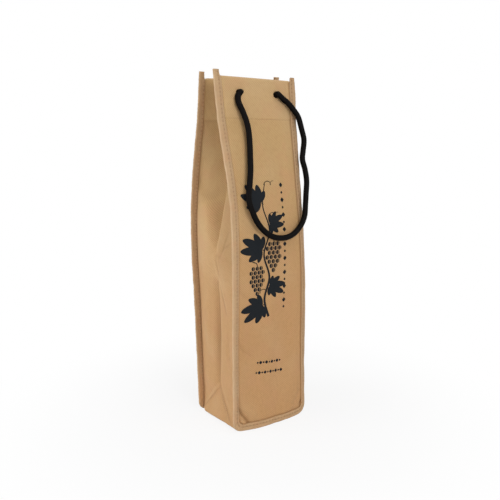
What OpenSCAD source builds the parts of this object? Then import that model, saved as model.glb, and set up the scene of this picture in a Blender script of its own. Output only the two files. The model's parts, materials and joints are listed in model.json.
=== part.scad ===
// Wine gift bag for one bottle: a body of thin non-woven cloth, seams bound with folded tape that stand
// outwards as fins, a stiffening board on the base and a rope handle through two punched holes.
// Millimetres. The origin is the bottom centre, +Z is up and the handle hangs on the -Y side.

/* [Bag body] */
// Height of the two panels
bag_h = 355; // [320:1:390]
// Width between the two side seams
seam_w = 84; // [74:1:100]
// Depth of the body at its base
base_depth = 69; // [60:1:80]
// Depth of the body where it is fullest
belly_depth = 77; // [70:1:90]
// Height at which the body is fullest
belly_z = 190; // [160:1:220]
// Depth of the mouth, where the sides are folded in
mouth_depth = 28.5; // [26:0.5:50]
// How far each side is folded in at the mouth
mouth_inset = 30; // [20:1:33]
// How far each side's middle stands in over the base
low_inset = 2; // [0.5:0.5:5]
// How far each half of a side bows outwards
side_bow = 3; // [1:0.5:5]
// How far the left edges come in at the waist, as the panels bulge
waist_left = 1; // [0:0.5:4]
// How far the right edges come in at the waist
waist_right = 3; // [0:0.5:4]

/* [Cloth] */
// Thickness of the body cloth
cloth_t = 0.6; // [0.4:0.1:0.9]
// Depth of the hem turned in at the mouth
hem_h = 42; // [30:1:60]
// Distance from the hem's ends to the side seams
hem_end_gap = 5; // [4:0.5:10]

/* [Binding] */
// Width of the seam allowance that stands out as a fin
fin_w = 6; // [5:0.5:9]
// Thickness of the binding tape
tape_t = 0.5; // [0.3:0.1:0.8]
// How far the tape covers the panel inside the seam
tape_cover = 0.8; // [0.6:0.1:3]
// Height of the tape ends above the mouth
tab_h = 6.5; // [3:0.5:12]
// Radius of the fins' bottom corners
corner_r = 12; // [11:0.5:18]
// Diameter of the sewing thread
thread_d = 0.4; // [0.3:0.05:0.6]

/* [Base board] */
// Thickness of the stiffening board
board_t = 2; // [1:0.5:3]
// Clearance round the board
board_gap = 1; // [0.5:0.5:4]
// Radius of the board's corners
board_corner_r = 5; // [2:0.5:10]

/* [Handle] */
// Diameter of the rope
rope_d = 5; // [4:0.5:5.5]
// Diameter of the punched holes
hole_d = 6; // [6:0.5:8]
// Distance between the two holes of a panel
hole_spacing = 45; // [40:1:52]
// Depth of the holes' centres below the mouth
hole_drop = 15; // [12:1:20]
// Diameter of the knots behind the holes
knot_d = 12; // [10:0.5:13]
// Thickness of the knots
knot_t = 7; // [5:0.5:7.5]

/* [Hidden] */

$fn = 48;

CLOTH_COLOUR = [0.77, 0.62, 0.43];
TAPE_COLOUR = [0.82, 0.69, 0.51];
THREAD_COLOUR = [0.72, 0.60, 0.44];
BOARD_COLOUR = [0.52, 0.44, 0.34];
ROPE_COLOUR = [0.06, 0.06, 0.07];

// Layers of a bound seam, counted inwards from the panel's outer face, with a small gap between them.
lay_gap = 0.1;
allowance_in = cloth_t + lay_gap;
allowance_out = 2 * cloth_t + lay_gap;
tape_in = allowance_out + lay_gap;
seam_x = seam_w / 2;
seam_r = corner_r - fin_w;
stitch_out = 2.6;
stitch_w = 0.5;
hem_stitch_up = 2;
running_gap = 0.3;

// The body's depth over its height: it swells from the base to the belly and closes to the mouth.
closing_power = 1.25;
hem_z = bag_h - hem_h;
function blend(a, b, t) = a + (b - a) * t;
function ease(t) = t * t * (3 - 2 * t);
function swell(z) = blend(base_depth, belly_depth, ease(max(z, 0) / belly_z)) / 2;
function closing(z) = pow((z - belly_z) / (bag_h - belly_z), closing_power);
function curved_half_depth(z) =
    z < belly_z ? swell(z) : blend(belly_depth, mouth_depth, ease(closing(z))) / 2;
hem_slope = (curved_half_depth(hem_z) - mouth_depth / 2) / hem_h;
hem_lean = atan(hem_slope);
// Below the hem the curve is cut into flat bands, and the hem itself is one flat band.
bands = 12;
band_h = hem_z / bands;
function banded_half_depth(z) = let (i = floor(max(z, 0) / band_h))
    blend(curved_half_depth(i * band_h), curved_half_depth((i + 1) * band_h), max(z, 0) / band_h - i);
function half_depth(z) =
    z >= hem_z ? mouth_depth / 2 + (bag_h - z) * hem_slope : banded_half_depth(z);
band_heights = [for (i = [0 : bands]) i * band_h];

// The edges come in round a waist, by a share of the waist's depth that is 1 at its middle.
waist_z = 225;
waist_span = 230;
function waist_share(z) = abs(z - waist_z) < waist_span / 2
    ? (1 + cos(360 * (z - waist_z) / waist_span)) / 2 : 0;

// The width of the fins' outline at a distance outside the seam line, and its lowest point.
outline_margin = fin_w + lay_gap + tape_t;
seam_z = outline_margin;
slab_reach = seam_w + 4 * fin_w;

// A sheet that follows the front panel, from one distance behind its outer face to another.
module front_sheet(from, to, top = bag_h) {
    heights = concat(band_heights, top);
    back = len(heights) - 1;
    rotate([90, 0, 90])
        linear_extrude(slab_reach, center = true)
            polygon(concat(
                [for (z = heights) [from - half_depth(z), z]],
                [for (i = [back : -1 : 0]) [to - half_depth(heights[i]), heights[i]]]));
}

// The panels' outline, seen from the front, grown by a distance outside the seam line.
module outline_2d(grow, top) {
    r = max(seam_r + grow, 0.5);
    w = seam_w + 2 * grow;
    low = seam_z - grow;
    edge = concat([low + r], [for (z = band_heights) if (z > low + r) z], bag_h, top > bag_h ? [top] : []);
    last = len(edge) - 1;
    polygon(concat(
        [for (z = edge) [w / 2 - waist_right * waist_share(z), z]],
        [for (i = [last : -1 : 0]) [waist_left * waist_share(edge[i]) - w / 2, edge[i]]]));
    translate([-w / 2 + r, low]) square([w - 2 * r, 2 * r]);
    for (side = [-1, 1]) translate([side * (w / 2 - r), low + r]) circle(r);
}

module outline(grow, top) {
    rotate([90, 0, 0])
        linear_extrude(2 * (belly_depth + base_depth), center = true) outline_2d(grow, top);
}

// Places its children at each handle hole of the front panel, +Z outwards, square to the cloth.
hole_z = bag_h - hole_drop;
module at_front_holes() {
    for (side = [-1, 1])
        translate([side * hole_spacing / 2, -half_depth(hole_z), hole_z])
            rotate([90 - hem_lean, 0, 0]) children();
}

module panel() {
    difference() {
        union() {
            intersection() {
                front_sheet(0, cloth_t);
                outline(fin_w, bag_h);
            }
            intersection() {
                front_sheet(cloth_t / 2, 2 * cloth_t);
                translate([hem_end_gap - seam_x, -belly_depth, hem_z])
                    cube([seam_w - 2 * hem_end_gap, belly_depth, hem_h]);
            }
        }
        at_front_holes() cylinder(h = 8 * cloth_t, d = hole_d, center = true);
    }
}

module binding() {
    tab_top = bag_h + tab_h;
    beyond = tab_top + fin_w;
    difference() {
        intersection() {
            front_sheet(-lay_gap - tape_t, tape_in + tape_t, tab_top);
            outline(outline_margin, tab_top);
        }
        // The space that holds the edges of the panel and of the side strip.
        intersection() {
            front_sheet(-lay_gap, tape_in, beyond);
            outline(fin_w + lay_gap, beyond);
        }
        // The outer leaf covers the seam, and the inner leaf stops beside the side strip.
        outline(-tape_cover, beyond);
        intersection() {
            front_sheet(tape_in - lay_gap, tape_in + 4 * tape_t, beyond);
            outline(running_gap, beyond);
        }
    }
}

module seam_thread() {
    faces = [-lay_gap - tape_t - thread_d, tape_in + tape_t];
    top = bag_h + tab_h / 2;
    for (from = faces)
        difference() {
            intersection() {
                front_sheet(from, from + thread_d, top);
                outline(stitch_out + stitch_w / 2, top);
            }
            outline(stitch_out - stitch_w / 2, top + fin_w);
        }
}

module front_hem_thread() {
    faces = [-thread_d, 2 * cloth_t];
    half = seam_x - hem_end_gap;
    for (from = faces)
        intersection() {
            front_sheet(from, from + thread_d);
            translate([-half, -belly_depth, hem_z + hem_stitch_up])
                cube([2 * half, belly_depth, stitch_w]);
        }
}

// The strip that makes both sides and the base is a row of cross-sections along its path, which runs down
// one side, round the corner and across the base. Each station holds the point on the seam line, the point
// at the middle of the strip, the inward direction and how boxy the section is, from 0 (a V) to 1 (flat).
fold_r = 3;
corner_steps = 4;
low_z = seam_z + seam_r;
fold_z = 0.55 * base_depth;
function side_inset(z) = z > belly_z
    ? max(low_inset, mouth_inset * sin(90 * (z - belly_z) / (bag_h - belly_z)))
    : low_inset * ease(min((z - low_z) / fold_z, 1));
function middle_z(z) = z > low_z + fold_z ? z : blend(fold_r, low_z + fold_z, (z - low_z) / fold_z);
function boxiness(z) = 1 - ease(min((z - low_z) / fold_z, 1));
side_heights = concat(bag_h, [for (i = [bands : -1 : 0]) if (i * band_h > low_z + 1) i * band_h], low_z);
function side_stations(waist) = [for (z = side_heights) let (x = seam_x - waist * waist_share(z))
    [[x, z], [x - side_inset(z), middle_z(z)], [-1, 0], boxiness(z)]];
corner_stations = [for (i = [1 : corner_steps]) let (a = 90 * i / corner_steps)
    [[seam_x - seam_r * (1 - cos(a)), seam_z + seam_r * (1 - sin(a))],
     [seam_x - fold_r * (1 - cos(a)), fold_r * (1 - sin(a))], [-cos(a), sin(a)], 1]];
right_stations = concat(side_stations(waist_right), corner_stations);
left_stations = concat(side_stations(waist_left), corner_stations);
function mirrored(s) = [[-s[0][0], s[0][1]], [-s[1][0], s[1][1]], [-s[2][0], s[2][1]], s[3]];
last_station = len(left_stations) - 1;
strip_stations = concat(right_stations, [for (i = [last_station : -1 : 0]) mirrored(left_stations[i])]);

// A cross-section leaves the seam square to the panel, to pass the tape's inner leaf, and then has two
// rows before its middle, given as shares of the way.
root_in = lay_gap + tape_t + thread_d + running_gap;
middle_half = 0.4;
function row_share(k, box) = [0.85, 0.5][k] + (k == 0 ? box * 0.07 : 0);
function row_reach(k, box) = blend([0.15, 0.5][k], 1, box);
function row_bow(k, box) = [0.4, 1][k] * side_bow * (1 - box);
function inset_of(s) = abs(s[0][0] - s[1][0]);
function wall_shift(s, h) = cloth_t * (s[3] < 1 ? norm([inset_of(s), h]) / h : 1);
function place(p, y) = [p[0], y, p[1]];

function half_section(s) = let (
    seam = s[0], middle = s[1], inward = s[2], box = s[3],
    tip = seam - fin_w * inward,
    h = half_depth(seam[1]),
    h_tip = half_depth(tip[1]),
    shift = wall_shift(s, h) * inward,
    span = h - allowance_out - root_in,
    rows = concat([[seam, -span]],
        [for (k = [0, 1]) [seam + row_reach(k, box) * (middle - seam) - row_bow(k, box) * inward,
                           -span * row_share(k, box)]]))
    [concat([place(tip, allowance_out - h_tip), place(seam, allowance_out - h)],
            [for (r = rows) place(r[0], r[1])],
            [place(middle, -middle_half)]),
     concat([place(tip, allowance_in - h_tip), place(seam + shift, allowance_in - h)],
            [for (r = rows) place(r[0] + shift, r[1])],
            [place(middle + shift, -middle_half)])];
function flip_y(p) = [p[0], -p[1], p[2]];
function reversed(list) = [for (i = [len(list) - 1 : -1 : 0]) list[i]];
function full_section(s) = let (half = half_section(s))
    concat(half[0], reversed([for (p = half[0]) flip_y(p)]),
           [for (p = half[1]) flip_y(p)], reversed(half[1]));

// A closed skin over a row of rings with the same number of points each. Its end caps are strips between
// opposite points, as a thin section needs.
module skin(rings) {
    n = len(rings[0]);
    last = len(rings) - 1;
    walls = [for (i = [0 : last - 1], j = [0 : n - 1]) let (k = (j + 1) % n)
        [i * n + j, i * n + k, (i + 1) * n + k, (i + 1) * n + j]];
    first_cap = [for (j = [0 : n / 2 - 2]) [j + 1, j, n - 1 - j, n - 2 - j]];
    last_cap = [for (j = [0 : n / 2 - 2])
        [last * n + j, last * n + j + 1, last * n + n - 2 - j, last * n + n - 1 - j]];
    polyhedron([for (ring = rings) each ring], concat(walls, first_cap, last_cap), convexity = 10);
}

// The rope's route in front of the panel, from the left hole to the right one. The end points lie on the
// axis that the loop lifts about, and those between them are the hanging loop's own.
rope_r = rope_d / 2;
stub_out = 1;
lift_reach = stub_out + running_gap + rope_r;
lift_y = -half_depth(hole_z) - lift_reach * cos(hem_lean);
lift_z = hole_z + lift_reach * sin(hem_lean);
hanging_route = [
    [-24.5, -20, 338.5], [-26.3, -20.7, 336], [-26.5, -21.3, 332], [-25.5, -22.5, 327.5], [-23.5, -23.5, 323],
    [-22, -25, 318], [-20.5, -27, 311], [-20, -29.5, 302], [-21, -32.5, 290], [-23, -36, 276],
    [-25, -39, 264], [-27.8, -41.5, 251], [-30, -43, 242], [-29.8, -44, 234.5], [-27.2, -45, 226.5],
    [-23, -45.5, 217.5], [-17.5, -46, 210], [-10.5, -46, 204], [-3, -46, 200], [5, -46, 198],
    [13, -46, 197.8], [20.5, -46, 199.5], [27.5, -45.5, 203.5], [34, -45, 210], [38.5, -44.5, 218.5],
    [40.3, -43.5, 229], [42.7, -41.5, 241], [45, -39.5, 253], [45.2, -37, 264.5], [44, -34.5, 275],
    [46, -32, 284], [49, -29, 295], [48.3, -26.5, 306], [46, -24, 317.5], [42, -22.5, 324.5],
    [35, -21.3, 332], [28.5, -20.5, 336.5]];
rope_route = concat([[-hole_spacing / 2, lift_y, lift_z]], hanging_route, [[hole_spacing / 2, lift_y, lift_z]]);
rope_sides = 10;

function direction(a, b) = (b - a) / norm(b - a);
function route_heading(i) = let (last = len(rope_route) - 1)
    direction(rope_route[max(i - 1, 0)], rope_route[min(i + 1, last)]);
function route_ring(centre, heading, r) = let (
    u = cross(heading, [0, 1, 0]) / norm(cross(heading, [0, 1, 0])),
    v = cross(u, heading))
    [for (j = [0 : rope_sides - 1]) let (a = 360 * (j + 0.5) / rope_sides) centre + r * (cos(a) * u + sin(a) * v)];
// A ball end on the rope, at an angle from its equator towards its pole.
function ball_ring(i, a, way) = let (heading = route_heading(i))
    route_ring(rope_route[i] + way * rope_r * sin(a) * heading, heading, rope_r * cos(a));
ball_angles = [30, 60, 85];
rope_rings = let (last = len(rope_route) - 1)
    concat([for (a = reversed(ball_angles)) ball_ring(0, a, -1)],
           [for (i = [0 : last]) route_ring(rope_route[i], route_heading(i), rope_r)],
           [for (a = ball_angles) ball_ring(last, a, 1)]);

module front_panel() {
    color(CLOTH_COLOUR) panel();
}

module back_panel() {
    color(CLOTH_COLOUR) mirror([0, 1, 0]) panel();
}

module side_and_base_strip() {
    color(CLOTH_COLOUR) skin([for (s = strip_stations) full_section(s)]);
}

module front_binding() {
    color(TAPE_COLOUR) binding();
}

module rear_binding() {
    color(TAPE_COLOUR) mirror([0, 1, 0]) binding();
}

module front_seam_thread() {
    color(THREAD_COLOUR) seam_thread();
}

module rear_seam_thread() {
    color(THREAD_COLOUR) mirror([0, 1, 0]) seam_thread();
}

module hem_thread() {
    color(THREAD_COLOUR)
        for (flip = [0, 1]) mirror([0, flip, 0]) front_hem_thread();
}

// The board lies on the flat part of the base, inside the strip's folds.
module base_board() {
    half_w = seam_x - fold_r - board_gap;
    half_d = (base_depth / 2 - allowance_out - root_in) * row_share(0, 1) - board_gap;
    r = board_corner_r;
    color(BOARD_COLOUR)
        translate([0, 0, cloth_t])
            linear_extrude(board_t) union() {
                square([2 * half_w, 2 * (half_d - r)], center = true);
                square([2 * (half_w - r), 2 * half_d], center = true);
                for (x = [-1, 1], y = [-1, 1]) translate([x * (half_w - r), y * (half_d - r)]) circle(r);
            }
}

module front_rope_loop() {
    color(ROPE_COLOUR) skin(rope_rings);
}

// The rope's two ends pass through the holes, from the knots to the lifting loop.
knot_seat = 2 * cloth_t + running_gap;
module front_rope_ends() {
    color(ROPE_COLOUR)
        at_front_holes() translate([0, 0, -knot_seat]) cylinder(h = knot_seat + stub_out, d = rope_d);
}

module front_rope_knots() {
    core = (knot_d - knot_t) / 2;
    color(ROPE_COLOUR)
        at_front_holes() translate([0, 0, -knot_seat - knot_t / 2])
            rotate_extrude() union() {
                translate([0, -knot_t / 2]) square([core, knot_t]);
                intersection() {
                    translate([core, 0]) circle(knot_t / 2);
                    translate([0, -knot_t / 2]) square([knot_d, knot_t]);
                }
            }
}

front_panel();
back_panel();
side_and_base_strip();
front_binding();
rear_binding();
front_seam_thread();
rear_seam_thread();
hem_thread();
base_board();
front_rope_loop();
front_rope_ends();
front_rope_knots();
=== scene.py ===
"""Dresses a cloth gift bag for one bottle: sewn panels, a folded side strip, bound seams and a rope handle."""

from __future__ import annotations

import json
import logging
import math
from dataclasses import dataclass, field
from enum import Enum
from typing import Callable, Sequence

import bmesh
import bpy
from mathutils import Matrix, Vector, noise

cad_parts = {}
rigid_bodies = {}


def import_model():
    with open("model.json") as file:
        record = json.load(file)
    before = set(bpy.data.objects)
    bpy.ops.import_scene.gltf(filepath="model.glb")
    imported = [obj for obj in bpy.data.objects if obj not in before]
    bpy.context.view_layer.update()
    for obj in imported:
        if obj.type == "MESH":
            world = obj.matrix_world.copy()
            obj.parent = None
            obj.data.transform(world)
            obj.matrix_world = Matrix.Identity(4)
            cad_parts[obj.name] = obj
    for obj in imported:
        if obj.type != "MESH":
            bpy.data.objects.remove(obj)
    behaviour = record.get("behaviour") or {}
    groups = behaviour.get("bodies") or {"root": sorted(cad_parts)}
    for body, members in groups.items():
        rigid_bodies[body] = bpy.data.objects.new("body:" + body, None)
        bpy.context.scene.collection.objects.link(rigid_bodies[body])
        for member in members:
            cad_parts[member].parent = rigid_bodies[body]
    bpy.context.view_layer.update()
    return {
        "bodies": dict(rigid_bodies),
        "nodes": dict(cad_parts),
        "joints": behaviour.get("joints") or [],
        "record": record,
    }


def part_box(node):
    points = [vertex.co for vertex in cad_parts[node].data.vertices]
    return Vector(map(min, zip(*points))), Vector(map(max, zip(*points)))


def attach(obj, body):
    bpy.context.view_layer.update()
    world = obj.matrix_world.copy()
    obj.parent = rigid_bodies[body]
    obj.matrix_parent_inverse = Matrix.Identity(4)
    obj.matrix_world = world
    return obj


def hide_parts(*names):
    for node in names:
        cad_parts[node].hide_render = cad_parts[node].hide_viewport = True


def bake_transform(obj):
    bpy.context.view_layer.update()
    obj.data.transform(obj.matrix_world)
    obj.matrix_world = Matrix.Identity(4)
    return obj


log = logging.getLogger("gift_bag")

MM = 0.001
CREASE_REACH = 2.6  # widths within which a crease shows
CREASE_LINE = (0.75, 1.1)  # share of a crease's width, and most millimetres, that its tone takes
CREASE_END = 0.35  # share of a crease's height left at its ends
STITCH_HALF = 0.36  # half a stitch's length, as a share of its pitch
THREAD = (0.26, 0.24)  # half a stitch's breadth and height, in millimetres
FOLD_ROWS, HEM_ROWS = 5, 24  # rows of faces round the fold at the mouth, and down the hem
Mesh = bmesh.types.BMesh
Piece = bpy.types.Object
Socket = bpy.types.NodeSocket
Pair = tuple[float, float]
Triple = tuple[float, float, float]
Tone = tuple[float, ...]
Place = Callable[[float, float], Vector]


def mix(a: float, b: float, t: float) -> float:
    """Returns the value a share t of the way from a to b."""
    return a + (b - a) * t


def ease(t: float) -> float:
    """Returns t, kept from 0 to 1, with a soft start and end."""
    t = min(max(t, 0.0), 1.0)
    return t * t * (3 - 2 * t)


def hump(x: float, centre: float, width: float) -> float:
    """Returns a soft bump that is 1 at its centre and fades over its width."""
    return math.exp(-(((x - centre) / width) ** 2))


def ripple(x: float, y: float, seed: float) -> float:
    """Returns smooth noise from about -1 to 1 at a place on a sheet."""
    return noise.noise(Vector((x, y, seed)))


@dataclass(frozen=True)
class Profile:
    """A smooth curve through stations that were chosen.

    Attributes:
        stations: Pairs of a place and the value there, in rising order of place.
    """

    stations: tuple[Pair, ...]

    def slope(self, k: int) -> float:
        """Returns the curve's slope at station k."""
        (x0, v0), (x1, v1) = (self.stations[min(max(j, 0), len(self.stations) - 1)] for j in (k - 1, k + 1))
        return (v1 - v0) / (x1 - x0)

    def at(self, x: float) -> float:
        """Returns the curve's value at a place.

        Args:
            x: The place, which is kept between the first and last stations.

        Returns:
            The value on the cubic between the two stations around x.
        """
        points = self.stations
        x = min(max(x, points[0][0]), points[-1][0])
        k = next(i for i in range(len(points) - 1) if x <= points[i + 1][0])
        (x0, v0), (x1, v1) = points[k], points[k + 1]
        span = x1 - x0
        t = (x - x0) / span
        return (
            (1 + 2 * t) * (1 - t) ** 2 * v0
            + t * (1 - t) ** 2 * span * self.slope(k)
            + t * t * (3 - 2 * t) * v1
            - t * t * (1 - t) * span * self.slope(k + 1)
        )


@dataclass(frozen=True)
class Crease:
    """A soft line pressed into, or raised from, a sheet.

    Attributes:
        start: One end, in millimetres on the sheet.
        end: The other end.
        width: How far the crease fades to each side.
        height: How far it stands out, or in if it is negative.
        tone: How far it is painted pale along its line, as worn cloth and painted highlight, or darkened with painted
            shade if it is negative.
    """

    start: Pair
    end: Pair
    width: float
    height: float
    tone: float = 0.0

    def at(self, x: float, y: float) -> float:
        """Returns the crease's height at a place on the sheet."""
        return self.height * self.share(x, y, self.width)

    def shade(self, x: float, y: float) -> float:
        """Returns the crease's tone at a place on the sheet: painted shade if negative, a pale line of worn cloth and
        painted highlight if positive.
        """
        part, most = CREASE_LINE
        return self.tone * self.share(x, y, min(part * self.width, most)) if self.tone else 0.0

    def share(self, x: float, y: float, width: float) -> float:
        """Returns how near a place is to the crease.

        Args:
            x: The place across the sheet.
            y: The place up the sheet.
            width: How far the crease fades to each side.

        Returns:
            A share from 0 to 1.
        """
        (ax, ay), (bx, by) = self.start, self.end
        reach = CREASE_REACH * width
        if x + reach < min(ax, bx) or x - reach > max(ax, bx) or y + reach < min(ay, by) or y - reach > max(ay, by):
            return 0.0
        dx, dy = bx - ax, by - ay
        t = ((x - ax) * dx + (y - ay) * dy) / (dx * dx + dy * dy)
        near = min(max(t, 0.0), 1.0)
        away = math.hypot(x - ax - near * dx, y - ay - near * dy)
        fade = mix(CREASE_END, 1, math.sin(math.pi * min(max(near, 0.08), 0.92)))
        return fade * math.exp(-((away / width) ** 2))


@dataclass
class Folds:
    """The creases of one sheet, kept by height so that the near ones are found quickly.

    Attributes:
        creases: The creases.
        band: Height of each band that they are kept in, in millimetres.
    """

    creases: tuple[Crease, ...] = ()
    band: float = 10.0

    def __post_init__(self) -> None:
        """Sorts the creases into bands."""
        self.bands: dict[int, list[Crease]] = {}
        for crease in self.creases:
            ends, reach = (crease.start[1], crease.end[1]), CREASE_REACH * crease.width
            for k in range(int((min(ends) - reach) // self.band), int((max(ends) + reach) // self.band) + 1):
                self.bands.setdefault(k, []).append(crease)

    def height(self, x: float, y: float) -> float:
        """Returns how far the creases stand out at a place."""
        return sum(c.at(x, y) for c in self.bands.get(int(y // self.band), ()))

    def shade(self, x: float, y: float) -> float:
        """Returns the tone of the creases at a place, with their painted shade and highlights."""
        return sum(c.shade(x, y) for c in self.bands.get(int(y // self.band), ()))


class Face(Enum):
    """The two panels of the bag, by the way that they face along Y."""

    FRONT = -1
    BACK = 1


class Side(Enum):
    """The two ends of the bag's width, by their sign along X."""

    LEFT = -1
    RIGHT = 1

    @staticmethod
    def of(place: float) -> Side:
        """Returns the side that a place across or along the bag is on."""
        return Side.RIGHT if place >= 0 else Side.LEFT


@dataclass(frozen=True)
class Station:
    """A cross-section of the side strip.

    Attributes:
        seam: X and Z of the seam line.
        middle: X and Z of the strip's middle line.
        out: The direction out of the bag, in X and Z.
        flat: The share of the half-width that lies flat about the middle.
    """

    seam: Pair
    middle: Pair
    out: Pair
    flat: float


@dataclass(frozen=True)
class BagForm:
    """The standing shape of the bag, in millimetres.

    Attributes:
        height: Height of the mouth.
        tip_half: Half the width over the panels' cut edges.
        fin: Width of the seam allowance that stands out.
        base_depth: Depth between the seams at the base.
        belly_depth: Depth where the bag is fullest.
        belly_z: Height where it is fullest.
        mouth_depth: Depth between the seams at the mouth.
        closing_power: How late the depth closes towards the mouth.
        hem: Depth of the turned hem.
        edge: How far each edge stands outside its straight place, over its height.
        seam_radius: Radius of the seam at the bottom corners.
        fold_radius: Radius of the strip's middle at the bottom corners.
        rim: Height of the seam line over the floor.
        cloth: Thickness of the body cloth.
    """

    height: float
    tip_half: float
    fin: float = 6.0
    base_depth: float = 70.5
    belly_depth: float = 78.0
    belly_z: float = 190.0
    mouth_depth: float = 28.5
    closing_power: float = 1.25
    hem: float = 42.0
    edge: dict[Side, Profile] = field(default_factory=lambda: {
        Side.LEFT: Profile(((0, -1.4), (100, -0.9), (225, -1.2), (300, -0.1), (355, 0.6))),
        Side.RIGHT: Profile((
            (0, -0.6), (100, 0), (160, -1.7), (214, -5.4), (250, -6.2), (300, -2.4), (340, 0.1), (355, 0.5),
        )),
    })
    seam_radius: float = 6.0
    fold_radius: float = 3.0
    rim: float = 6.6
    cloth: float = 0.6

    @staticmethod
    def from_frame() -> BagForm:
        """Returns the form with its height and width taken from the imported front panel."""
        _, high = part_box("front_panel")
        return BagForm(height=high[2] / MM, tip_half=high[0] / MM)

    @property
    def seam_half(self) -> float:
        """Half the width between the seam lines."""
        return self.tip_half - self.fin

    @property
    def low_z(self) -> float:
        """Height where the straight sides of the seam begin."""
        return self.rim + self.seam_radius

    def half_depth(self, z: float) -> float:
        """Returns the distance of the seams from the middle plane.

        Args:
            z: Height over the floor.

        Returns:
            Half the depth between the seams there.
        """
        hem_z = self.height - self.hem
        if z < self.belly_z:
            return mix(self.base_depth, self.belly_depth, ease(z / self.belly_z)) / 2
        share = ((min(z, hem_z) - self.belly_z) / (self.height - self.belly_z)) ** self.closing_power
        depth = mix(self.belly_depth, self.mouth_depth, ease(share)) / 2
        if z <= hem_z:
            return depth
        return mix(depth, self.mouth_depth / 2, (z - hem_z) / self.hem)

    def edge_shift(self, side: Side, z: float) -> float:
        """Returns how far an edge stands outside its straight place at a height."""
        return self.edge[side].at(z)

    def inside(self, across: float, z: float) -> float:
        """Returns how far a place on a panel is inside its seam line.

        Args:
            across: Distance from the panel's middle.
            z: Height on the pattern.

        Returns:
            The distance, which is negative outside the line.
        """
        over, under = abs(across) - self.seam_half + self.seam_radius, self.low_z - z
        if over > 0 and under > 0:
            return self.seam_radius - math.hypot(over, under)
        return min(self.seam_half - abs(across), z - self.rim)


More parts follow.
